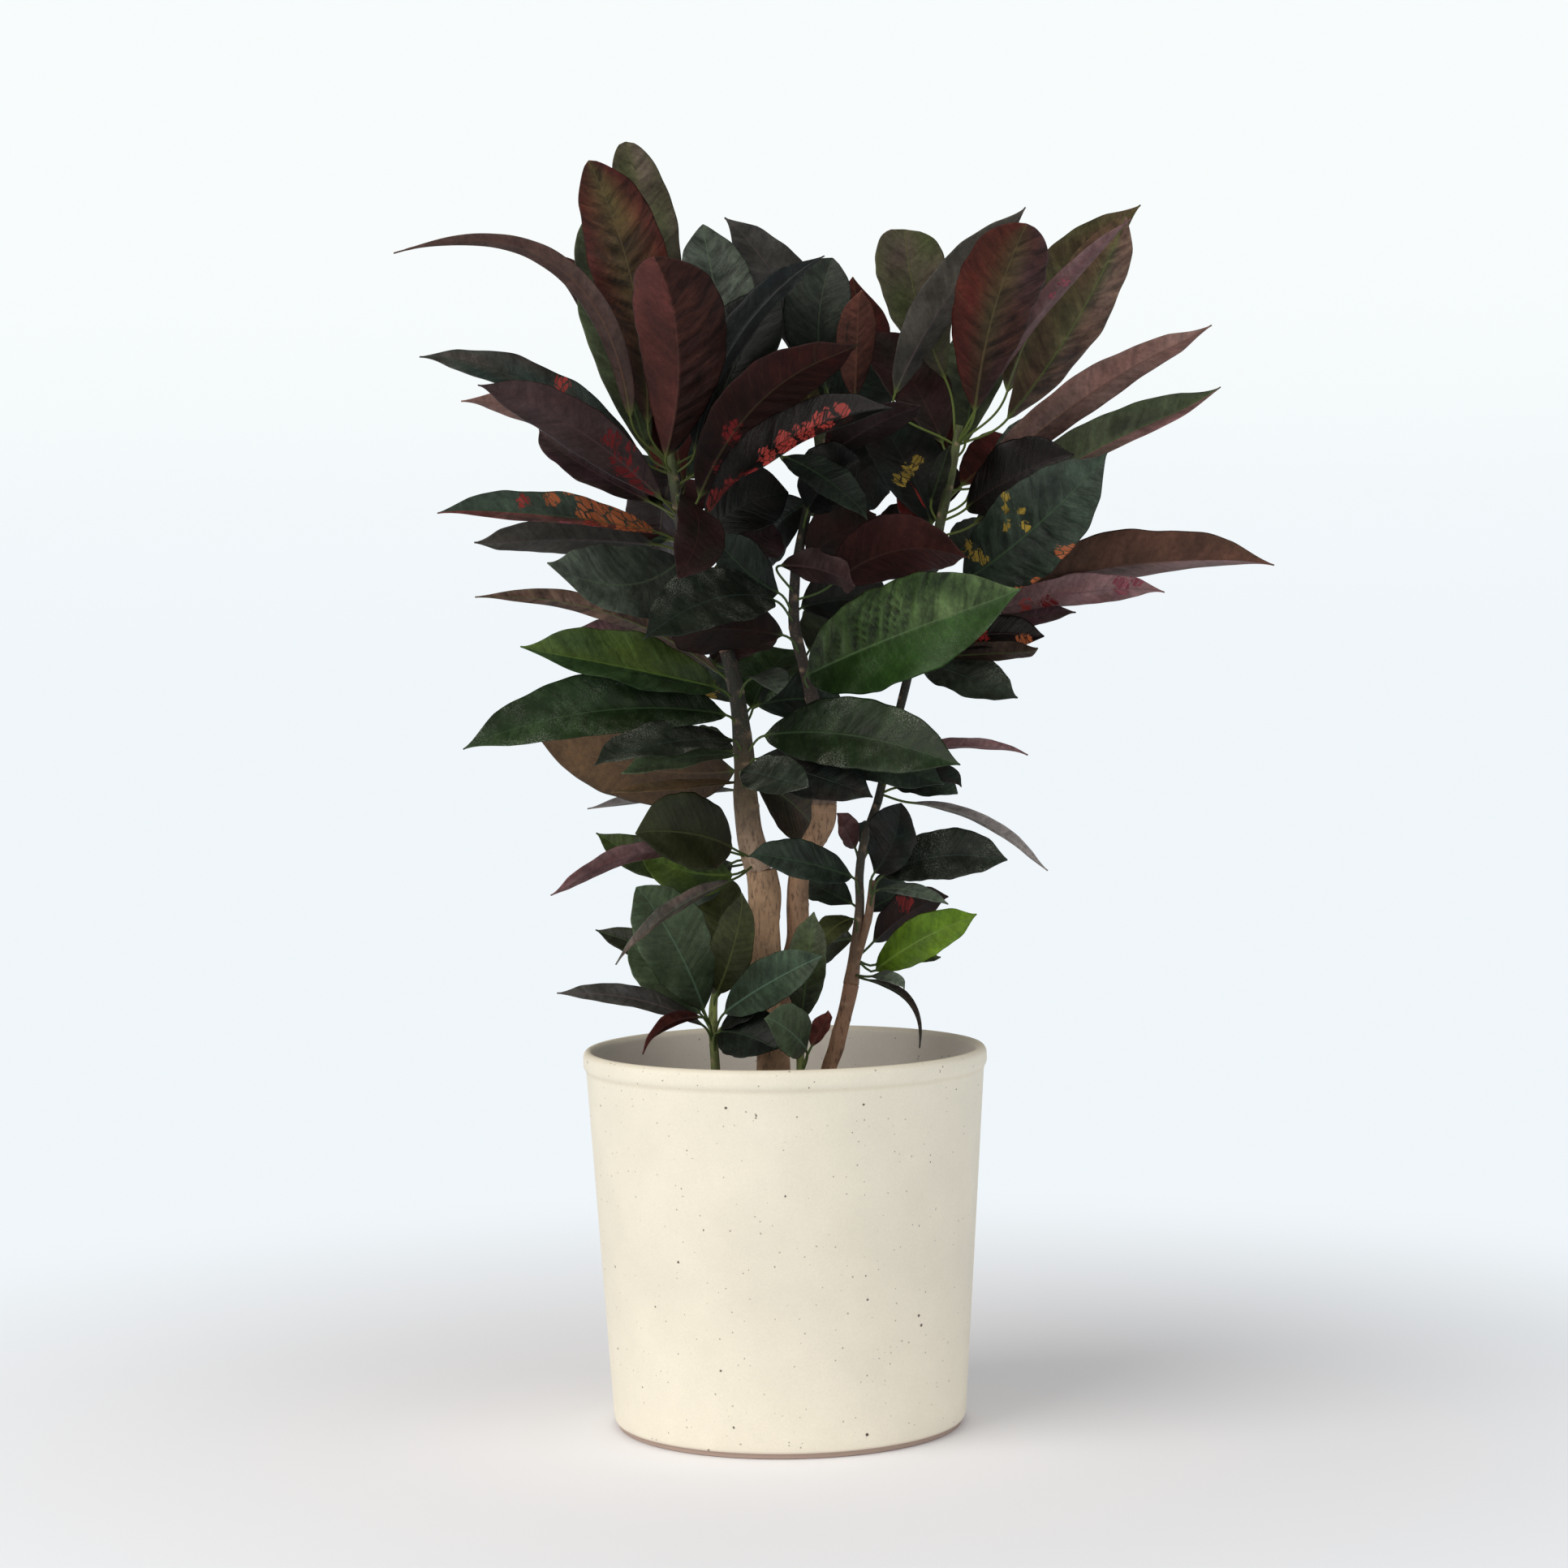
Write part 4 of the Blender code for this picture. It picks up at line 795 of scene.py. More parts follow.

# The tone holds each leaf's own lightness and also painted shade for leaves deep in the crown and painted light
# for lit ones.
# Each leaf: its blade starts at (x, z) and ends at (x, z) as seen from the front, its tip's depth, its width,
# how far it bows up, how far its face turns to the front in degrees, its bluntness, its look and its tone.
# "patches" gives the marks of a leaf by its number: (x, z, radius, colour) as seen from the front.
# "turns" changes single leaves: fold and twist in degrees, wave as a share of the width, rise and fall of the
# outline, hook as (mm sideways, where it starts), half as (side, colour), heart as (colour beside the midrib,
# how far across it reaches), pleats of its two halves as a share of the look's depth
crownLeft = {
    "node": "crown_left", "stalk": "#515a2c", "slot": "leaf_maroon", "stems": ["crownLeft"], "seed": 3,
    "leaves": [
        (-75, 524, -196, 613, -35, 15, 41, -50, 0, "mauveBrown", 1.03),
        (-60, 520, -75, 665, 62, 33, 6, 75, 0.8, "oliveMauve", 1.23),
        (-66, 520, -94, 656, -8, 43, 8, -75, 0.6, "wine", 0.96),
        (-57, 503, -61, 606, -85, 52, 9, -80, 0.6, "maroon", 1.04),
        (-66, 505, -92, 632, 48, 36, -4, 70, 0.4, "midGreen", 2.5),
        (-68, 518, -119, 612, 84, 26, 10, -60, 0, "wine", 0.45),
        (-70, 502, -183, 557, 18, 26, 11, 50, 0, "nearBlack", 2.6),
        (-60, 482, -153, 542, -66, 28, 7, -70, 0, "mauve", 0.66),
        (-66, 486, -162, 534, -26, 24, 11, -50, 0, "mauveBrown", 2.34),
        (-66, 480, -124, 517, 62, 24, -2, 60, 0, "plum", 2.24),
        (-62, 464, -176, 477, -60, 28, 3, 40, 0, "darkGreen", 2.6),
        (-64, 458, -157, 459, -15, 28, 3, -45, 0, "greyMauve", 0.78),
        (-50, 450, -119, 448, -98, 44, -12, 65, 0.2, "greyGreen", 1.63),
        (-50, 483, -52, 440, -118, 30, 10, 50, 0.3, "blackRed", 1.31),
        (-40, 482, 45, 558, -72, 36, 15, -60, 0, "wine", 0.34),
        (-38, 470, 62, 527, -100, 36, 13, 40, 0, "nearBlack", 0.14),
        (-28, 520, -37, 622, 16, 42, 4, 75, 0.4, "greyGreen", 1.45),
        (-42, 505, 26, 606, -24, 24, 13, 45, 0, "greyBlue", 0.38),
        (-38, 500, 2, 590, 2, 46, 4, 65, 0.3, "darkGreen", 0.38),
        (-58, 500, -78, 566, 128, 40, 5, 60, 0.3, "maroon", 2.6),
        (-54, 504, -56, 590, 112, 38, 3, 60, 0.2, "darkGreen", 1),
        (-48, 490, -42, 536, 142, 40, 6, 50, 0.3, "wine", 2.6),
        (-60, 478, -104, 500, 128, 38, 7, 40, 0.2, "darkGreen", 2.6),
        (-44, 472, -24, 484, 128, 36, 6, 40, 0.2, "maroon", 2.6),
        (-56, 460, -86, 454, 130, 36, 4, 40, 0.2, "darkGreen", 2.38),
        (-51, 500, -59, 448, 66, 42, 4, 60, 0.4, "wine", 0.33),
        (-36, 464, 6, 484, 8, 42, 4, 60, 0.3, "nearBlack", 0.47),
        (-30, 448, 2, 462, 34, 38, 4, 60, 0.3, "plum", 2.6),
        (-46, 492, 14, 520, 60, 42, 4, 60, 0.2, "darkGreen", 2.55),
    ],
    "patches": {
        6: [(-110, 541, 4.5, "coral")],
        7: [(-85, 512, 5, "deepRed"), (-75, 508, 4, "deepRed"), (-78, 498, 6, "deepRed"),
            (-68, 480, 6, "deepRed"), (-82, 502, 4, "deepRed"), (-72, 488, 5, "deepRed")],
        10: [(-131, 481, 3.5, "coral"), (-117, 483, 4.5, "orange"), (-108, 486, 3, "orange"),
             (-98, 478, 7, "orange"), (-88, 475, 8, "orange"), (-78, 470, 8, "orange"),
             (-69, 465, 7, "orange"), (-62, 460, 5, "orange"), (-96, 468, 4, "coral"),
             (-110, 467, 4, "pink"), (-84, 462, 4, "coral")],
        14: [(-23, 515, 6, "deepRed"), (-18, 507, 4, "deepRed"), (-30, 498, 4, "deepRed")],
        15: [(-5, 503, 5, "coral"), (5, 509, 6, "coral"), (15, 515, 6, "coral"), (25, 521, 6, "coral"),
             (34, 526, 4, "coral"), (-32, 480, 7, "deepRed"), (-22, 485, 8, "deepRed"),
             (-12, 491, 6, "deepRed")],
        19: [(-66, 520, 8, "deepRed")],
        22: [(-80, 488, 9, "orange")],
    },
    "turns": {
        0: {"wave": 0.02, "rise": 0.5, "fall": 0.9, "hook": (4, 0.6)},
        1: {"pleats": (1.6, 1.6)},
        2: {"fold": 10, "wave": 0.05, "pleats": (2.4, 2.4), "heart": ("#4a4228", 0.7)},
        3: {"fold": 24, "half": (-1, "#2c1814"), "pleats": (2.6, 0.6)},
        7: {"fold": 20},
        10: {"fold": 26, "half": (-1, "#4d2a2c")},
        15: {"fold": 24, "half": (-1, "#331f22")},
        16: {"pleats": (1.8, 1.8)},
        17: {"fold": 26, "twist": 30},
    },
}
crownBack = {
    "node": "crown_back", "stalk": "#5a6a38", "slot": "leaf_dark", "stems": ["crownBack"], "seed": 5,
    "leaves": [
        (25, 540, -24, 626, 26, 36, 6, 65, 0, "greyMauve", 0.98),
        (27, 536, 31, 604, 0, 38, 6, 70, 0.6, "greyGreen", 0.62),
        (41, 532, 44, 587, -14, 23, 0, -65, 0.3, "rust", 1.68),
        (38, 532, 40, 594, 72, 42, -6, -70, 0.2, "wine", 1.03),
        (22, 522, 10, 549, 6, 14, 0, 60, 0, "ochre", 0.3),
        (26, 502, 76, 527, -44, 24, 3, -50, 0, "mauve", 0.3),
        (4, 502, 48, 470, -44, 22, 3, 60, 0, "darkGreen", 0.96),
        (16, 450, 52, 470, 6, 34, 3, -65, 0.2, "blackRed", 1.27),
        (30, 530, 46, 574, 136, 40, 5, 60, 0.3, "darkGreen", 1),
        (20, 514, 2, 552, 142, 38, 5, 60, 0.3, "maroon", 1),
        (28, 504, 44, 512, 138, 38, 6, 40, 0.3, "wine", 1),
        (16, 478, -6, 450, 76, 38, 6, 60, 0.3, "darkGreen", 0.68),
        (26, 534, 14, 598, 104, 36, 4, 70, 0.3, "plum", 1),
        (18, 472, 42, 462, 136, 36, 6, 40, 0.2, "darkGreen", 1),
        (24, 494, 58, 482, 40, 44, 4, 60, 0.2, "nearBlack", 2.6),
        (22, 520, 66, 544, 48, 42, 4, 60, 0.2, "darkGreen", 2.6),
        (16, 474, 44, 500, -10, 38, 4, 60, 0.3, "nearBlack", 0.14),
    ],
    "patches": {
        10: [(36, 508, 10, "red")],
    },
    "turns": {
        1: {"twist": 0},
        2: {"twist": 0, "fold": 6},
    },
}
crownRight = {
    "node": "crown_right", "stalk": "#5c6a32", "slot": "leaf_maroon", "stems": ["crownRight"], "seed": 7,
    "leaves": [
        (88, 541, 68, 618, 28, 40, -4, 75, 0.9, "oliveMauve", 1.6),
        (62, 534, 132, 627, -8, 30, 7, -55, 0, "greyMauve", 1.47),
        (103, 524, 131, 620, -84, 44, 4, -80, 0.7, "wine", 1.26),
        (104, 526, 185, 622, -60, 13, 6, -50, 0, "mauve", 1.9),
        (120, 534, 191, 628, 40, 34, 11, 60, 0, "oliveBrown", 1.61),
        (120, 520, 183, 624, -18, 38, -5, -70, 0.4, "oliveBrown", 2.1),
        (98, 478, 227, 565, -64, 24, 9, -60, 0, "mauveBrown", 2.06),
        (102, 466, 232, 531, -22, 31, 5, 48, 0, "midGreen", 2.3),
        (98, 474, 154, 502, -46, 38, 3, 55, 0, "blackRed", 0.3),
        (110, 490, 153, 523, 74, 20, 5, 60, 0, "greyGreen", 2.45),
        (96, 436, 172, 501, -92, 47, -3, 75, 0, "darkGreen", 1.82),
        (106, 428, 257, 444, -24, 36, 8, -55, 0, "russet", 1.65),
        (106, 420, 200, 431, -10, 22, 4, -50, 0, "mauve", 2.6),
        (98, 406, 154, 420, 8, 15, 3, 50, 0, "plum", 2.6),
        (86, 402, 137, 406, -32, 22, 5, 50, 0.3, "blackRed", 0.3),
        (84, 398, 135, 400, -48, 14, 0, -50, 0.3, "oliveBrown", 0.6),
        (72, 396, 123, 375, -26, 30, 1, 50, 0, "dustyDark", 2.6),
        (80, 478, 90, 507, -16, 12, 0, 60, 0, "midGreen", 0.34),
        (76, 458, 62, 492, 14, 16, 0, -60, 0, "ember", 2.15),
        (80, 466, 50, 524, 36, 42, 3, 65, 0.2, "nearBlack", 1.39),
        (86, 508, 50, 566, 34, 38, 4, 60, 0.2, "blackRed", 2.6),
        (70, 350, 128, 347, -20, 10, 3, -40, 0, "mauve", 2.6),
        (64, 338, 95, 331, -38, 16, 3, 40, 0, "nearBlack", 2.6),
        (60, 330, 92, 327, -14, 22, 2, 40, 0.3, "darkGreen", 2.6),
        (68, 322, 137, 285, 16, 10, 8, -40, 0, "ashen", 1.26),
        (98, 508, 118, 580, 122, 40, 4, 60, 0.3, "midGreen", 2.6),
        (92, 496, 88, 548, 140, 38, 5, 50, 0.2, "wine", 1.96),
        (96, 486, 146, 504, 120, 38, 7, 40, 0.2, "wine", 2.6),
        (84, 474, 68, 500, 130, 36, 5, 50, 0.2, "maroon", 0.63),
        (88, 450, 128, 450, 126, 38, 6, 40, 0.2, "darkGreen", 2.6),
        (80, 440, 66, 446, 134, 36, 6, 40, 0.2, "plum", 1),
        (76, 426, 98, 404, 116, 34, 6, 40, 0.2, "darkGreen", 1),
        (82, 462, 54, 448, 64, 42, 4, 60, 0.3, "blackRed", 2.6),
        (65, 400, 38, 386, 18, 26, 4, 50, 0.2, "blackRed", 1),
    ],
    "patches": {
        3: [(150, 590, 2.6, "pink"), (144, 583, 2, "pink")],
        10: [(118, 480, 3, "yellow"), (118, 474, 2.4, "yellow"), (119, 465, 3, "yellow"),
             (127, 472, 2.4, "yellow"), (128, 465, 3, "yellow"), (98, 455, 3, "yellow"),
             (103, 450, 4, "yellow"), (107, 447, 3, "yellow"), (148, 451, 4, "orange"),
             (153, 452, 3, "orange"), (127, 430, 4, "orange"), (134, 436, 3, "orange")],
        12: [(178, 433, 5, "pink"), (186, 436, 4, "pink"), (140, 424, 5, "deepRed"),
             (128, 424, 4, "coral")],
        14: [(103, 410, 6, "red"), (127, 405, 4, "orange")],
        19: [(64, 490, 4, "yellow"), (69, 494, 4, "yellow"), (73, 499, 4, "yellow")],
        27: [(120, 496, 10, "orange")],
        29: [(104, 450, 9, "yellow")],
    },
    "turns": {
        2: {"fold": 12, "half": (-1, "#3a2528"), "pleats": (1.6, 0.9), "heart": ("#3e3826", 0.45)},
        4: {"fold": 20},
        5: {"fold": 24, "half": (1, "#33301f"), "pleats": (3, 1.2), "heart": ("#3c3e2a", 0.3)},
        7: {"fold": 34, "half": (1, "#5c4448"), "hook": (-5, 0.8)},
        8: {"twist": 30},
        10: {"fold": 10, "pleats": (1.6, 1.6)},
        11: {"fold": 34, "half": (-1, "#6e565a")},
    },
}
whorlLeft = {
    "node": "whorl_left", "stalk": "#4a5a2c", "slot": "leaf_green", "stems": ["whorlLeft"], "seed": 9,
    "leaves": [
        (-32, 383, -134, 405, -46, 40, 1, 50, 0, "brightGreen", 1.7),
        (-28, 369, -165, 354, -74, 40, 10, 60, 0, "dustyGreen", 1.21),
        (-25, 356, -98, 345, -90, 30, 4, 35, 0, "dustyDark", 1.61),
        (-24, 348, -82, 339, -34, 22, 3, 30, 0.2, "sage", 2.6),
        (-24, 340, -128, 361, 76, 44, -8, -75, 0.2, "brown", 0.75),
        (-24, 334, -88, 330, -14, 14, 0, 20, 0, "brown", 1.95),
        (-24, 330, -100, 321, 112, 12, 2, -40, 0, "ashen", 0.57),
        (-30, 390, -157, 432, 0, 16, 13, -45, 0, "oliveBrown", 1.45),
        (-40, 398, -105, 415, 28, 24, 2, -60, 0, "plum", 2.6),
        (-34, 396, -2, 418, 34, 36, 3, 60, 0.3, "blackRed", 2.6),
        (-14, 388, 0, 380, -58, 20, 4, 40, 0.3, "greyGreen", 1),
        (-8, 358, 93, 341, -94, 40, 7, 68, 0.1, "dustyGreen", 0.87),
        (-20, 340, 14, 331, -106, 24, 1, 58, 0.6, "dustyDark", 1.6),
        (-26, 300, -76, 309, -66, 42, 4, 70, 0.3, "olive", 0.77),
        (-26, 286, -74, 299, -12, 32, -4, 60, 0.1, "brightGreen", 2.12),
        (-40, 300, -120, 275, -50, 14, 8, -50, 0, "mauve", 2.6),
        (-30, 290, -96, 309, 28, 24, -6, 62, 0, "brightGreen", 0.62),
        (-27, 283, -87, 241, -98, 13, 5, -40, 0, "greyGreen", 2.6),
        (-26, 292, -58, 272, 8, 26, 0, 60, 0.2, "greyGreen", 1.93),
        (-22, 390, -26, 410, 130, 36, 6, 40, 0.2, "midGreen", 0.71),
        (-24, 376, -58, 386, 128, 38, 6, 40, 0.2, "darkGreen", 2.6),
        (-14, 372, 8, 402, 56, 36, 4, 60, 0.2, "dustyGreen", 2.1),
        (-24, 350, -50, 338, 122, 34, 6, 40, 0.2, "midGreen", 1.17),
        (-14, 336, 20, 304, 60, 40, 4, 60, 0.2, "oliveBrown", 1.06),
        (-12, 374, 34, 372, 58, 38, 4, 60, 0.3, "darkGreen", 1.6),
        (-12, 346, 48, 326, -64, 32, 1, 58, 0.1, "nearBlack", 1.52),
    ],
    "patches": {
        20: [(-40, 380, 8, "yellow")],
    },
    "turns": {
        0: {"fold": 26, "half": (-1, "#243c22")},
        1: {"fold": 22},
        7: {"pleats": (1.8, 1.8)},
        11: {"fold": 12},
        13: {"pleats": (0.4, 0.4)},
    },
}
sprayMiddle = {
    "node": "spray_middle", "stalk": "#4a5c34", "slot": "leaf_green", "stems": ["spray"], "seed": 13,
    "leaves": [
        (14, 389, 126, 431, -108, 55, 2, 72, 0.1, "richGreen", 1.03),
        (-2, 428, -70, 409, -104, 38, 9, 60, 0, "dustyDark", 1.32),
        (0, 432, -33, 463, -30, 30, -3, 60, 0.2, "darkGreen", 1.22),
        (28, 436, 98, 448, -50, 40, 11, -60, 0, "maroon", 0.62),
        (2, 446, 40, 434, -60, 22, 4, -50, 0.2, "mauve", 0.57),
        (16, 402, 42, 412, 128, 38, 6, 40, 0.2, "midGreen", 2.6),
        (24, 348, 84, 331, -40, 30, 3, 55, 0.1, "darkGreen", 1.93),
        (2, 410, -56, 410, -64, 34, 4, -60, 0.1, "blackRed", 0.96),
        (12, 424, 58, 424, 34, 42, 4, 60, 0.3, "nearBlack", 1.11),
    ],
    "patches": {
        1: [(-71, 434, 3, "coral")],
        0: [(10, 400, 4, "lime")],
    },
    "turns": {
        0: {"fold": 18, "half": (1, "#2a4a1e"), "pleats": (3, 0.3)},
        4: {"wave": 0.12},
    },
}
whorlRight = {
    "node": "whorl_right", "stalk": "#4c5a38", "slot": "leaf_green", "stems": ["whorlRight", "rightTwig"],
    "seed": 17,
    "leaves": [
        (48, 235, 101, 263, -28, 24, 3, 65, 0.1, "limeGreen", 0.98),
        (44, 230, 70, 194, -25, 8, 10, -30, 0, "greyGreen", 1),
        (46, 232, 64, 226, -40, 9, 2, 40, 0, "greyGreen", 2.6),
        (48, 238, 82, 240, 12, 14, 3, 40, 0, "midGreen", 1.71),
        (50, 277, 86, 269, -42, 10, 3, 40, 0, "greyGreen", 2.29),
        (47, 250, 86, 274, 22, 24, 3, -60, 0.1, "blackRed", 0.85),
        (52, 284, 117, 291, -36, 29, 7, 62, 0.2, "dustyDark", 1.26),
        (48, 286, 62, 322, -28, 30, -3, 60, 0.5, "nearBlack", 1.77),
        (36, 284, -18, 297, -42, 24, 2, 55, 0, "darkGreen", 2.04),
        (36, 270, 12, 283, 38, 20, 0, 60, 0.3, "darkGreen", 2.6),
        (38, 299, 30, 318, 26, 14, 0, -60, 0.2, "mauve", 2.6),
        (36, 262, 18, 246, -24, 17, 3, 50, 0, "olive", 1.51),
        (45, 266, 72, 272, 92, 30, 5, 40, 0.2, "darkGreen", 2.6),
        (36, 252, 18, 244, 60, 24, 3, 50, 0.2, "midGreen", 2.6),
        (44, 296, 58, 304, 86, 28, 5, 40, 0.2, "darkGreen", 2.6),
    ],
    "patches": {
        5: [(63, 269, 5, "red")],
    },
    "turns": {},
}
shootLeft = {
    "node": "shoot_left", "stalk": "#55663a", "slot": "leaf_green", "stems": ["shootLeft"], "seed": 19,
    "leaves": [
        (-42, 216, -75, 281, -34, 40, 3, 70, 0.5, "sage", 1.73),
        (-44, 214, -80, 252, 6, 30, 0, 60, 0.2, "sage", 2.22),
        (-43, 208, -118, 225, -46, 16, 6, 40, 0, "greyMauve", 1.51),
        (-44, 212, -74, 193, -52, 12, 6, -40, 0, "maroon", 1.32),
        (-35, 224, -20, 276, -32, 24, -2, 70, 0.2, "olive", 1.4),
        (-35, 222, -30, 286, 30, 34, 0, 60, 0.3, "olive", 2.35),
        (-31, 214, 20, 243, -62, 26, 2, 65, 0.3, "blueGreen", 1.48),
        (-33, 206, -8, 217, -34, 14, 2, 40, 0.2, "nearBlack", 0.36),
        (-34, 204, -4, 194, -42, 32, 3, 60, 0.2, "darkGreen", 0.62),
        (-43, 216, -98, 257, 24, 20, 9, 60, 0, "midGreen", 0.7),
    ],
    "patches": {
        1: [(-63, 235, 3, "yellow")],
    },
    "turns": {},
}
shootMiddle = {
    "node": "shoot_middle", "stalk": "#55663a", "slot": "leaf_green", "stems": ["shootMiddle"], "seed": 23,
    "leaves": [
        (11, 194, -10, 212, -60, 28, 2, 55, 0.2, "sage", 1.71),
        (9, 210, 16, 266, -38, 23, 0, 70, 0.2, "midGreen", 2.25),
        (14, 196, 24, 214, -32, 12, 0, -60, 0, "maroon", 1.82),
    ],
    "patches": {},
    "turns": {},
}


def stalkFoot(lines, base):
    # the point on a stem's centre line nearest to the leaf as seen from the front, a little lower down it
    gaps = [np.linalg.norm((line - base)[:, [0, 2]], axis=1) for line in lines]
    nearest = min(range(len(lines)), key=lambda k: gaps[k].min())
    line, reached = lines[nearest], pathRun(lines[nearest])
    margin = bladeShape["rootMargin"] * mm
    at = np.clip(reached[gaps[nearest].argmin()] - bladeShape["rootDrop"] * mm, margin, reached[-1] - margin)
    return np.array([np.interp(at, reached, line[:, k]) for k in range(3)])


def bezier(a, b, c, d, t):
    # a (1-t)^3 + 3 b t (1-t)^2 + 3 c t^2 (1-t) + d t^3
    t = t[:, None]
    return a * (1 - t) ** 3 + 3 * b * t * (1 - t) ** 2 + 3 * c * t ** 2 * (1 - t) + d * t ** 3


def leafSpine(leaf, lines):
    # the centre line, a Bezier stalk and a Bezier blade, with its direction and the way that the face looks
    baseX, baseZ, tipX, tipZ, depth, _, bow, face = leaf[:8]
    tip = seenPoint(tipX, depth, tipZ)
    flatBase = seenPoint(baseX, 0, baseZ)
    root = stalkFoot(lines, flatBase)
    stalkRun = np.hypot(*(flatBase - root)[[0, 2]])
    bladeRun = np.hypot(*(tip - flatBase)[[0, 2]])
    base = seenPoint(baseX, (root[1] + (tip[1] - root[1]) * stalkRun / (stalkRun + bladeRun)) / mm, baseZ)
    chord = tip - base
    length = np.linalg.norm(chord)
    along = chord / length
    facing = unitRows(np.array([0.0, -1.0, 0.0]) + along[1] * along)
    upward = np.cross(along, facing)
    upward = upward if upward[2] >= 0 else -upward
    lean = math.radians(face)
    level = math.sin(lean) * facing + math.cos(lean) * upward
    push = (upward * bow * mm + facing * math.sin(lean) * length * bladeShape["droop"]) / 0.75
    inner, outer = base + chord / 3 + push, base + chord * 2 / 3 + push
    stalkLong = np.linalg.norm(base - root)
    tStalk = np.linspace(0, 1, max(4, int(stalkLong / mm / 2.5)), endpoint=False)
    t = np.linspace(0, 1, int(np.clip(length / mm / bladeShape["step"], 12, 80)) + 1)
    softStart = unitRows(inner - base) * stalkLong / 2.4
    centres = np.concatenate([bezier(root, root + (base - root) / 3, base - softStart, base, tStalk),
                              bezier(base, inner, outer, tip, t)])
    tangent = unitRows(np.gradient(centres, axis=0))
    normal = unitRows(level - (tangent @ level)[:, None] * tangent)
    return centres, tangent, normal, 0 * tStalk, t, length


def leafOutline(width, blunt, turn, t, rng):
    # half the width: w (t/p)^rise ((1-t)/(1-p))^fall, pinched to a point at the tip, with a ragged margin
    shape = bladeShape
    rise = turn.get("rise", shape["riseFrom"] + (shape["riseTo"] - shape["riseFrom"]) * blunt)
    fall = turn.get("fall", shape["fallFrom"] + (shape["fallTo"] - shape["fallFrom"]) * blunt)
    peak = rise / (rise + fall)
    outline = (t / peak) ** rise * ((1 - t) / (1 - peak)) ** fall
    late = np.clip((t - shape["tipFrom"]) / (1 - shape["tipFrom"]), 0, 1)
    drawn = 1 - shape["tipPinch"] * late ** 1.3 * (1 - blunt)
    ragged = 1 + 0.018 * np.sin(t * 23 + rng.uniform(0, 6)) + 0.012 * np.sin(t * 51 + rng.uniform(0, 6))
    half = np.maximum(width * mm / 2 * outline * drawn * ragged, shape["stalkRadius"] * mm)
    return np.where(t > 0.97, np.maximum(width * mm / 2 * outline * drawn, 0.0003), half)


def leafTints(leaf, turn, t, s, isUnder, shade, stalkTint, rng):
    # the colour of each point and of the rib beneath it
    shape, look, tone = bladeShape, dict(zip(lookParts, leafLooks[leaf[9]])), leaf[10]
    # the tone is a brightness for each leaf: its own lightness, with painted shade for leaves deep in the crown
    # and painted light for lit ones
    vary = shape["pigment"] * tone * np.array(shape["warmth"])
    tint = np.where(isUnder[:, None] > 0, linearColour(look["under"]), linearColour(look["upper"])) * vary
    tint = np.broadcast_to(tint, (len(t), len(s), 3)).copy()
    if "half" in turn:
        tint[:, s * turn["half"][0] > 0.001] = linearColour(turn["half"][1]) * vary
    if "heart" in turn:
        near = np.clip(1.2 - np.abs(s) / turn["heart"][1], 0, 1)[None, :, None]
        tint = tint * (1 - near) + linearColour(turn["heart"][0]) * vary * near
    # the second pigment lies in clouds: 0.5 + two crossed waves along and across the blade
    phase = rng.uniform(0, 2 * math.pi, 2)
    clouds = 0.5 + 0.28 * np.sin(8.2 * t[:, None] + 2.1 * s + phase[0]) + 0.22 * np.sin(
        14.0 * t[:, None] - 4.4 * s + phase[1])
    clouds = clouds[..., None] * shape["cloudShare"]
    tint = tint * (1 - clouds) + linearColour(look["flush"]) * vary * clouds
    # painted shade in the pleat valleys and painted light on their ridges: the colour times 1 - k shade
    tint = tint * np.clip(1 - shape["pleatShade"] * min(look["pleat"], 0.9) * shade, 0.25, 1.6)[..., None]
    # painted shade darkens the colour towards the stalk, where the crown shades it, 1 - k (1 - t/0.6), and the
    # colour turns lighter towards the tip, 1 + k t^2
    t = t[:, None, None]
    tint = tint * (1 - shape["rootShade"] * np.clip(1 - t / 0.6, 0, 1) + shape["tipPale"] * t ** 2)
    ribTone = shape["pigment"] * (0.35 + 0.65 * min(tone, 1.6))
    green = np.clip(1 - t / 0.10, 0, 1)
    ribTint = (linearColour(look["rib"]) * ribTone * (1 - green)
               + linearColour(stalkTint) * shape["pigment"] * 1.3 * green)
    return tint, np.broadcast_to(ribTint, tint.shape)


def leafMarks(points, patches):
    # each mark fades from its middle, 1.35 - distance / radius cut to 0 to 1; the strongest gives the colour
    seen = seenFrom(points)
    share, tint = np.zeros(points.shape[:2]), np.zeros(points.shape)
    for x, z, radius, name in patches:
        spot = np.clip(1.35 - np.hypot(seen[..., 0] - x, seen[..., 1] - z) / radius, 0, 1)
        tint = np.where((spot > share)[..., None], linearColour(patchTints[name]), tint)
        share = np.maximum(share, spot)
    return np.concatenate([tint, share[..., None]], axis=-1)


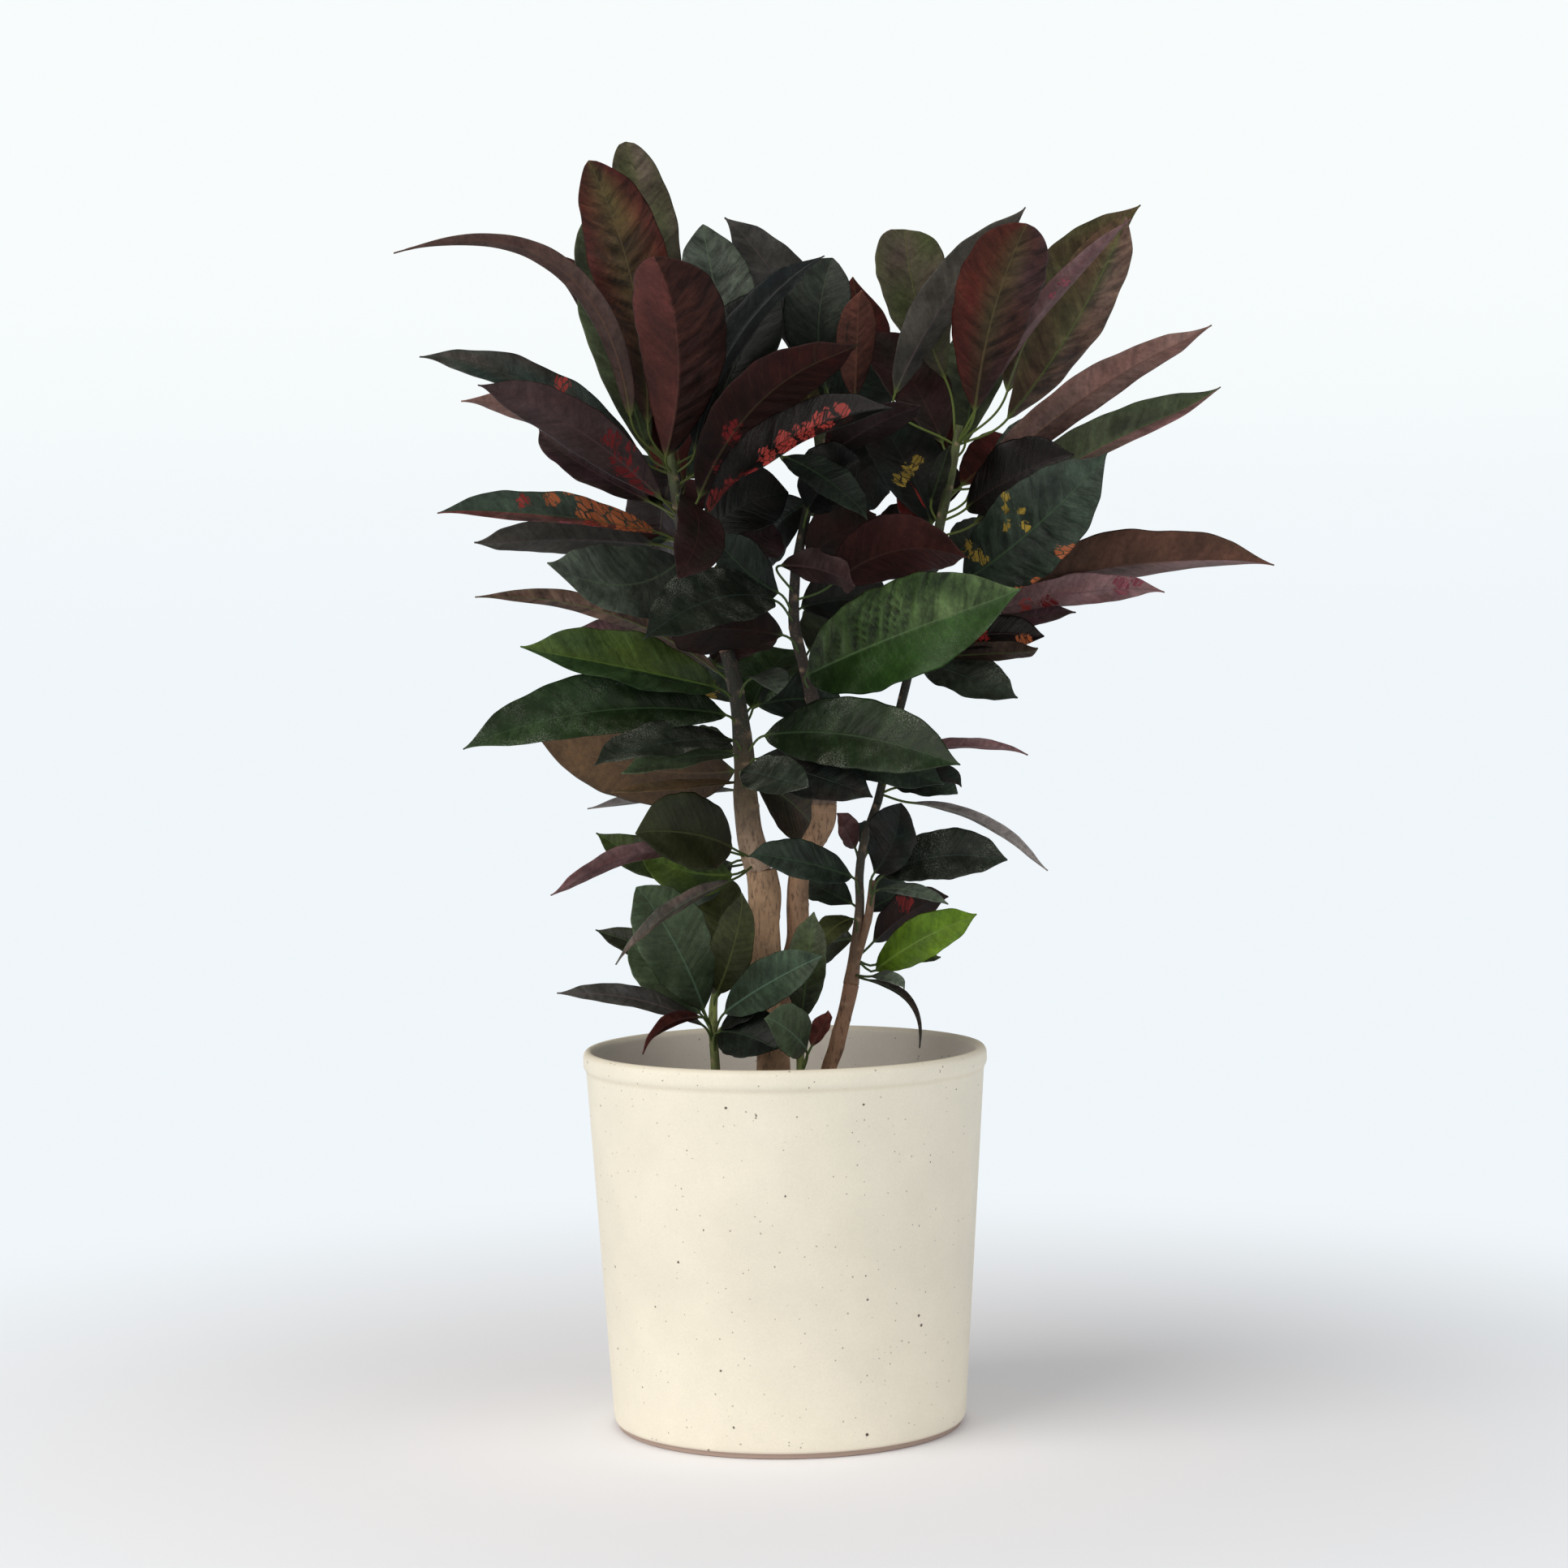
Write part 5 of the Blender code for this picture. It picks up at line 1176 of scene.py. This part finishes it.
def leafShell(leaf, lines, rng, patches, turn, stalkTint):
    # A surface of t along the leaf and s across it, closed by its underside.
    # place = centre + side * h s cos f + normal * (h |s| sin f + waves of the margin + pleats between veins),
    # with h half the width and f the fold; half the thickness is added above and taken away below.
    shape = bladeShape
    width, blunt = leaf[5], leaf[8]
    look = dict(zip(lookParts, leafLooks[leaf[9]]))
    centres, tangent, normal, still, t, length = leafSpine(leaf, lines)
    side = np.cross(tangent, normal)
    tAll = np.concatenate([still, t])
    isBlade = np.concatenate([still, np.clip(t / 0.05, 0, 1)])
    twist = np.radians(turn.get("twist", rng.uniform(-shape["twistSpread"], shape["twistSpread"])))
    twist = twist * (tAll - 0.3) * isBlade
    normal, side = (normal * np.cos(twist)[:, None] + side * np.sin(twist)[:, None],
                    side * np.cos(twist)[:, None] - normal * np.sin(twist)[:, None])
    half = leafOutline(width, blunt, turn, tAll, rng)
    hook, hookFrom = turn.get("hook", (rng.uniform(-shape["hookSpread"], shape["hookSpread"]) * (1 - blunt),
                                       shape["hookFrom"]))
    bend = np.clip((tAll - hookFrom) / (1 - hookFrom), 0, 1) ** 2
    centres = centres + side * (hook * mm * bend)[:, None]
    h, tt, isBlade = half[:, None], tAll[:, None], isBlade[:, None]
    fold = np.radians(turn.get("fold", shape["fold"] + rng.uniform(*shape["foldSpread"]))) * isBlade
    wave = turn.get("wave", rng.uniform(*shape["wave"]))
    waves = rng.uniform(*shape["waveCount"], 2)
    starts = rng.uniform(0, 2 * math.pi, 2)
    alongMm = tt * length / mm
    phaseStart = 40 * rng.uniform(0, 1)
    veinGap = shape["veinGap"] * np.clip(length / mm / 105, 0.62, 1.1)
    pleatBelow, pleatAbove = turn.get("pleats", (1.0, 1.0))
    pleatDeep = look["pleat"] * mm * np.clip(width / 38, 0.3, 1.2)

    def surface(s, upper):
        # one face over the places s across the blade
        acrossMm = s * h / mm
        whichWave, start = np.where(s > 0, waves[0], waves[1]), np.where(s > 0, starts[0], starts[1])
        passed = (alongMm - shape["veinSlant"] * np.abs(acrossMm) - 0.006 * acrossMm ** 2) / veinGap
        passed = (passed + phaseStart + 0.22 * np.sin(0.9 * passed + start)
                  + 0.15 * np.sin(2.3 * passed - start))
        lift = (np.sqrt(s ** 2 + 0.006) - math.sqrt(0.006)) * h * np.sin(fold)
        ripple = wave * 2 * h * np.sin(2 * math.pi * whichWave * tt + start) * s ** 2
        gain = 0.62 + 0.38 * np.sin(1.7 * tt * waves.sum() + start + 2.5 * s)
        gain = gain * np.where(s > 0, pleatAbove, pleatBelow)
        gain = gain * np.minimum(np.abs(s) * 5, 1) * (1 - np.abs(s) ** 4) * np.sin(math.pi * tt ** 0.8)
        quilt = (np.abs(np.sin(math.pi * passed)) - 0.6) * pleatDeep * gain
        # painted shade: darker in the valleys between the pleats and, where the value falls below zero, painted
        # light on their ridges
        valley = (0.5 + 0.5 * np.cos(2 * math.pi * passed + 0.7)) ** 2.2
        shade = gain * (valley - 0.30) * (1.3 - np.abs(s))
        ribBump = shape["ribHeight"] * mm * (1 - 0.85 * tt) * np.exp(-(acrossMm / 0.8) ** 2)
        roundShare = np.sqrt(np.clip(1 - s ** 2, 0, 1))
        bladeHalf = shape["blade"] * mm * np.minimum(roundShare * 2.2, 1) + ribBump * (0.25 if upper else 1.0)
        thick = shape["stalkRadius"] * mm * roundShare * (1 - isBlade) + bladeHalf * isBlade
        height = lift + (ripple + quilt) * isBlade + (thick if upper else -thick)
        out = h * s * np.cos(fold)
        points = (centres[:, None, :] + side[:, None, :] * out[..., None]
                  + normal[:, None, :] * height[..., None])
        return points, np.stack([acrossMm, passed, tt + 0 * acrossMm], axis=-1), shade

    points, grid, shade = [np.concatenate(pair, axis=1)
                           for pair in zip(surface(acrossTop, True), surface(acrossUnder, False))]
    s = np.concatenate([acrossTop, acrossUnder])
    isUnder = np.concatenate([np.zeros(len(acrossTop)), np.ones(len(acrossUnder))])
    tint, ribTint = leafTints(leaf, turn, tAll, s, isUnder, shade, stalkTint, rng)
    none = np.zeros(points.shape[:2])
    # dust gathers towards the margins: k (0.35 + 0.65 s^2)
    dust = look["dust"] * (np.where(isUnder > 0, 0.15, 1.0) * (0.35 + 0.65 * s ** 2)) + none
    stalk = np.clip(1 - tAll / 0.035, 0, 1)[:, None] + none
    # wrinkles are as strong as the pleats of each half
    creased = np.where(s > 0, pleatAbove, pleatBelow) * (0.25 + 0.75 * look["pleat"])
    creased = np.clip(creased, 0.1, 1.3) + none
    return points, {
        "leafTint": np.concatenate([tint, creased[..., None]], axis=-1),
        "ribTint": np.concatenate([ribTint, none[..., None] + 1], axis=-1),
        "patchTint": leafMarks(points, patches), "leafGrid": grid,
        "leafCover": np.stack([dust, isUnder + none, stalk], axis=-1),
    }


def makeShoot(name, shoot):
    # all leaves of one shoot in one piece, and its stems in another
    rng = np.random.default_rng(shoot["seed"])
    lines = [stemLine(stem, 2.0)[0] for stem in shoot["stems"]]
    points, faces, attributes = joinGrids(
        leafShell(leaf, lines, rng, shoot["patches"].get(k, []), shoot["turns"].get(k, {}), shoot["stalk"])
        for k, leaf in enumerate(shoot["leaves"]))
    addPiece(name + "Leaves", points, faces, waxyLeaf, attributes, [shoot["node"]])
    makeStems(name + "Stem", shoot["stems"], shoot["node"])
    print(name, "has", len(shoot["leaves"]), "leaves")


for name, shoot in [("crownLeft", crownLeft), ("crownBack", crownBack), ("crownRight", crownRight),
                    ("whorlLeft", whorlLeft), ("sprayMiddle", sprayMiddle), ("whorlRight", whorlRight),
                    ("shootLeft", shootLeft), ("shootMiddle", shootMiddle)]:
    makeShoot(name, shoot)

bpy.context.view_layer.update()
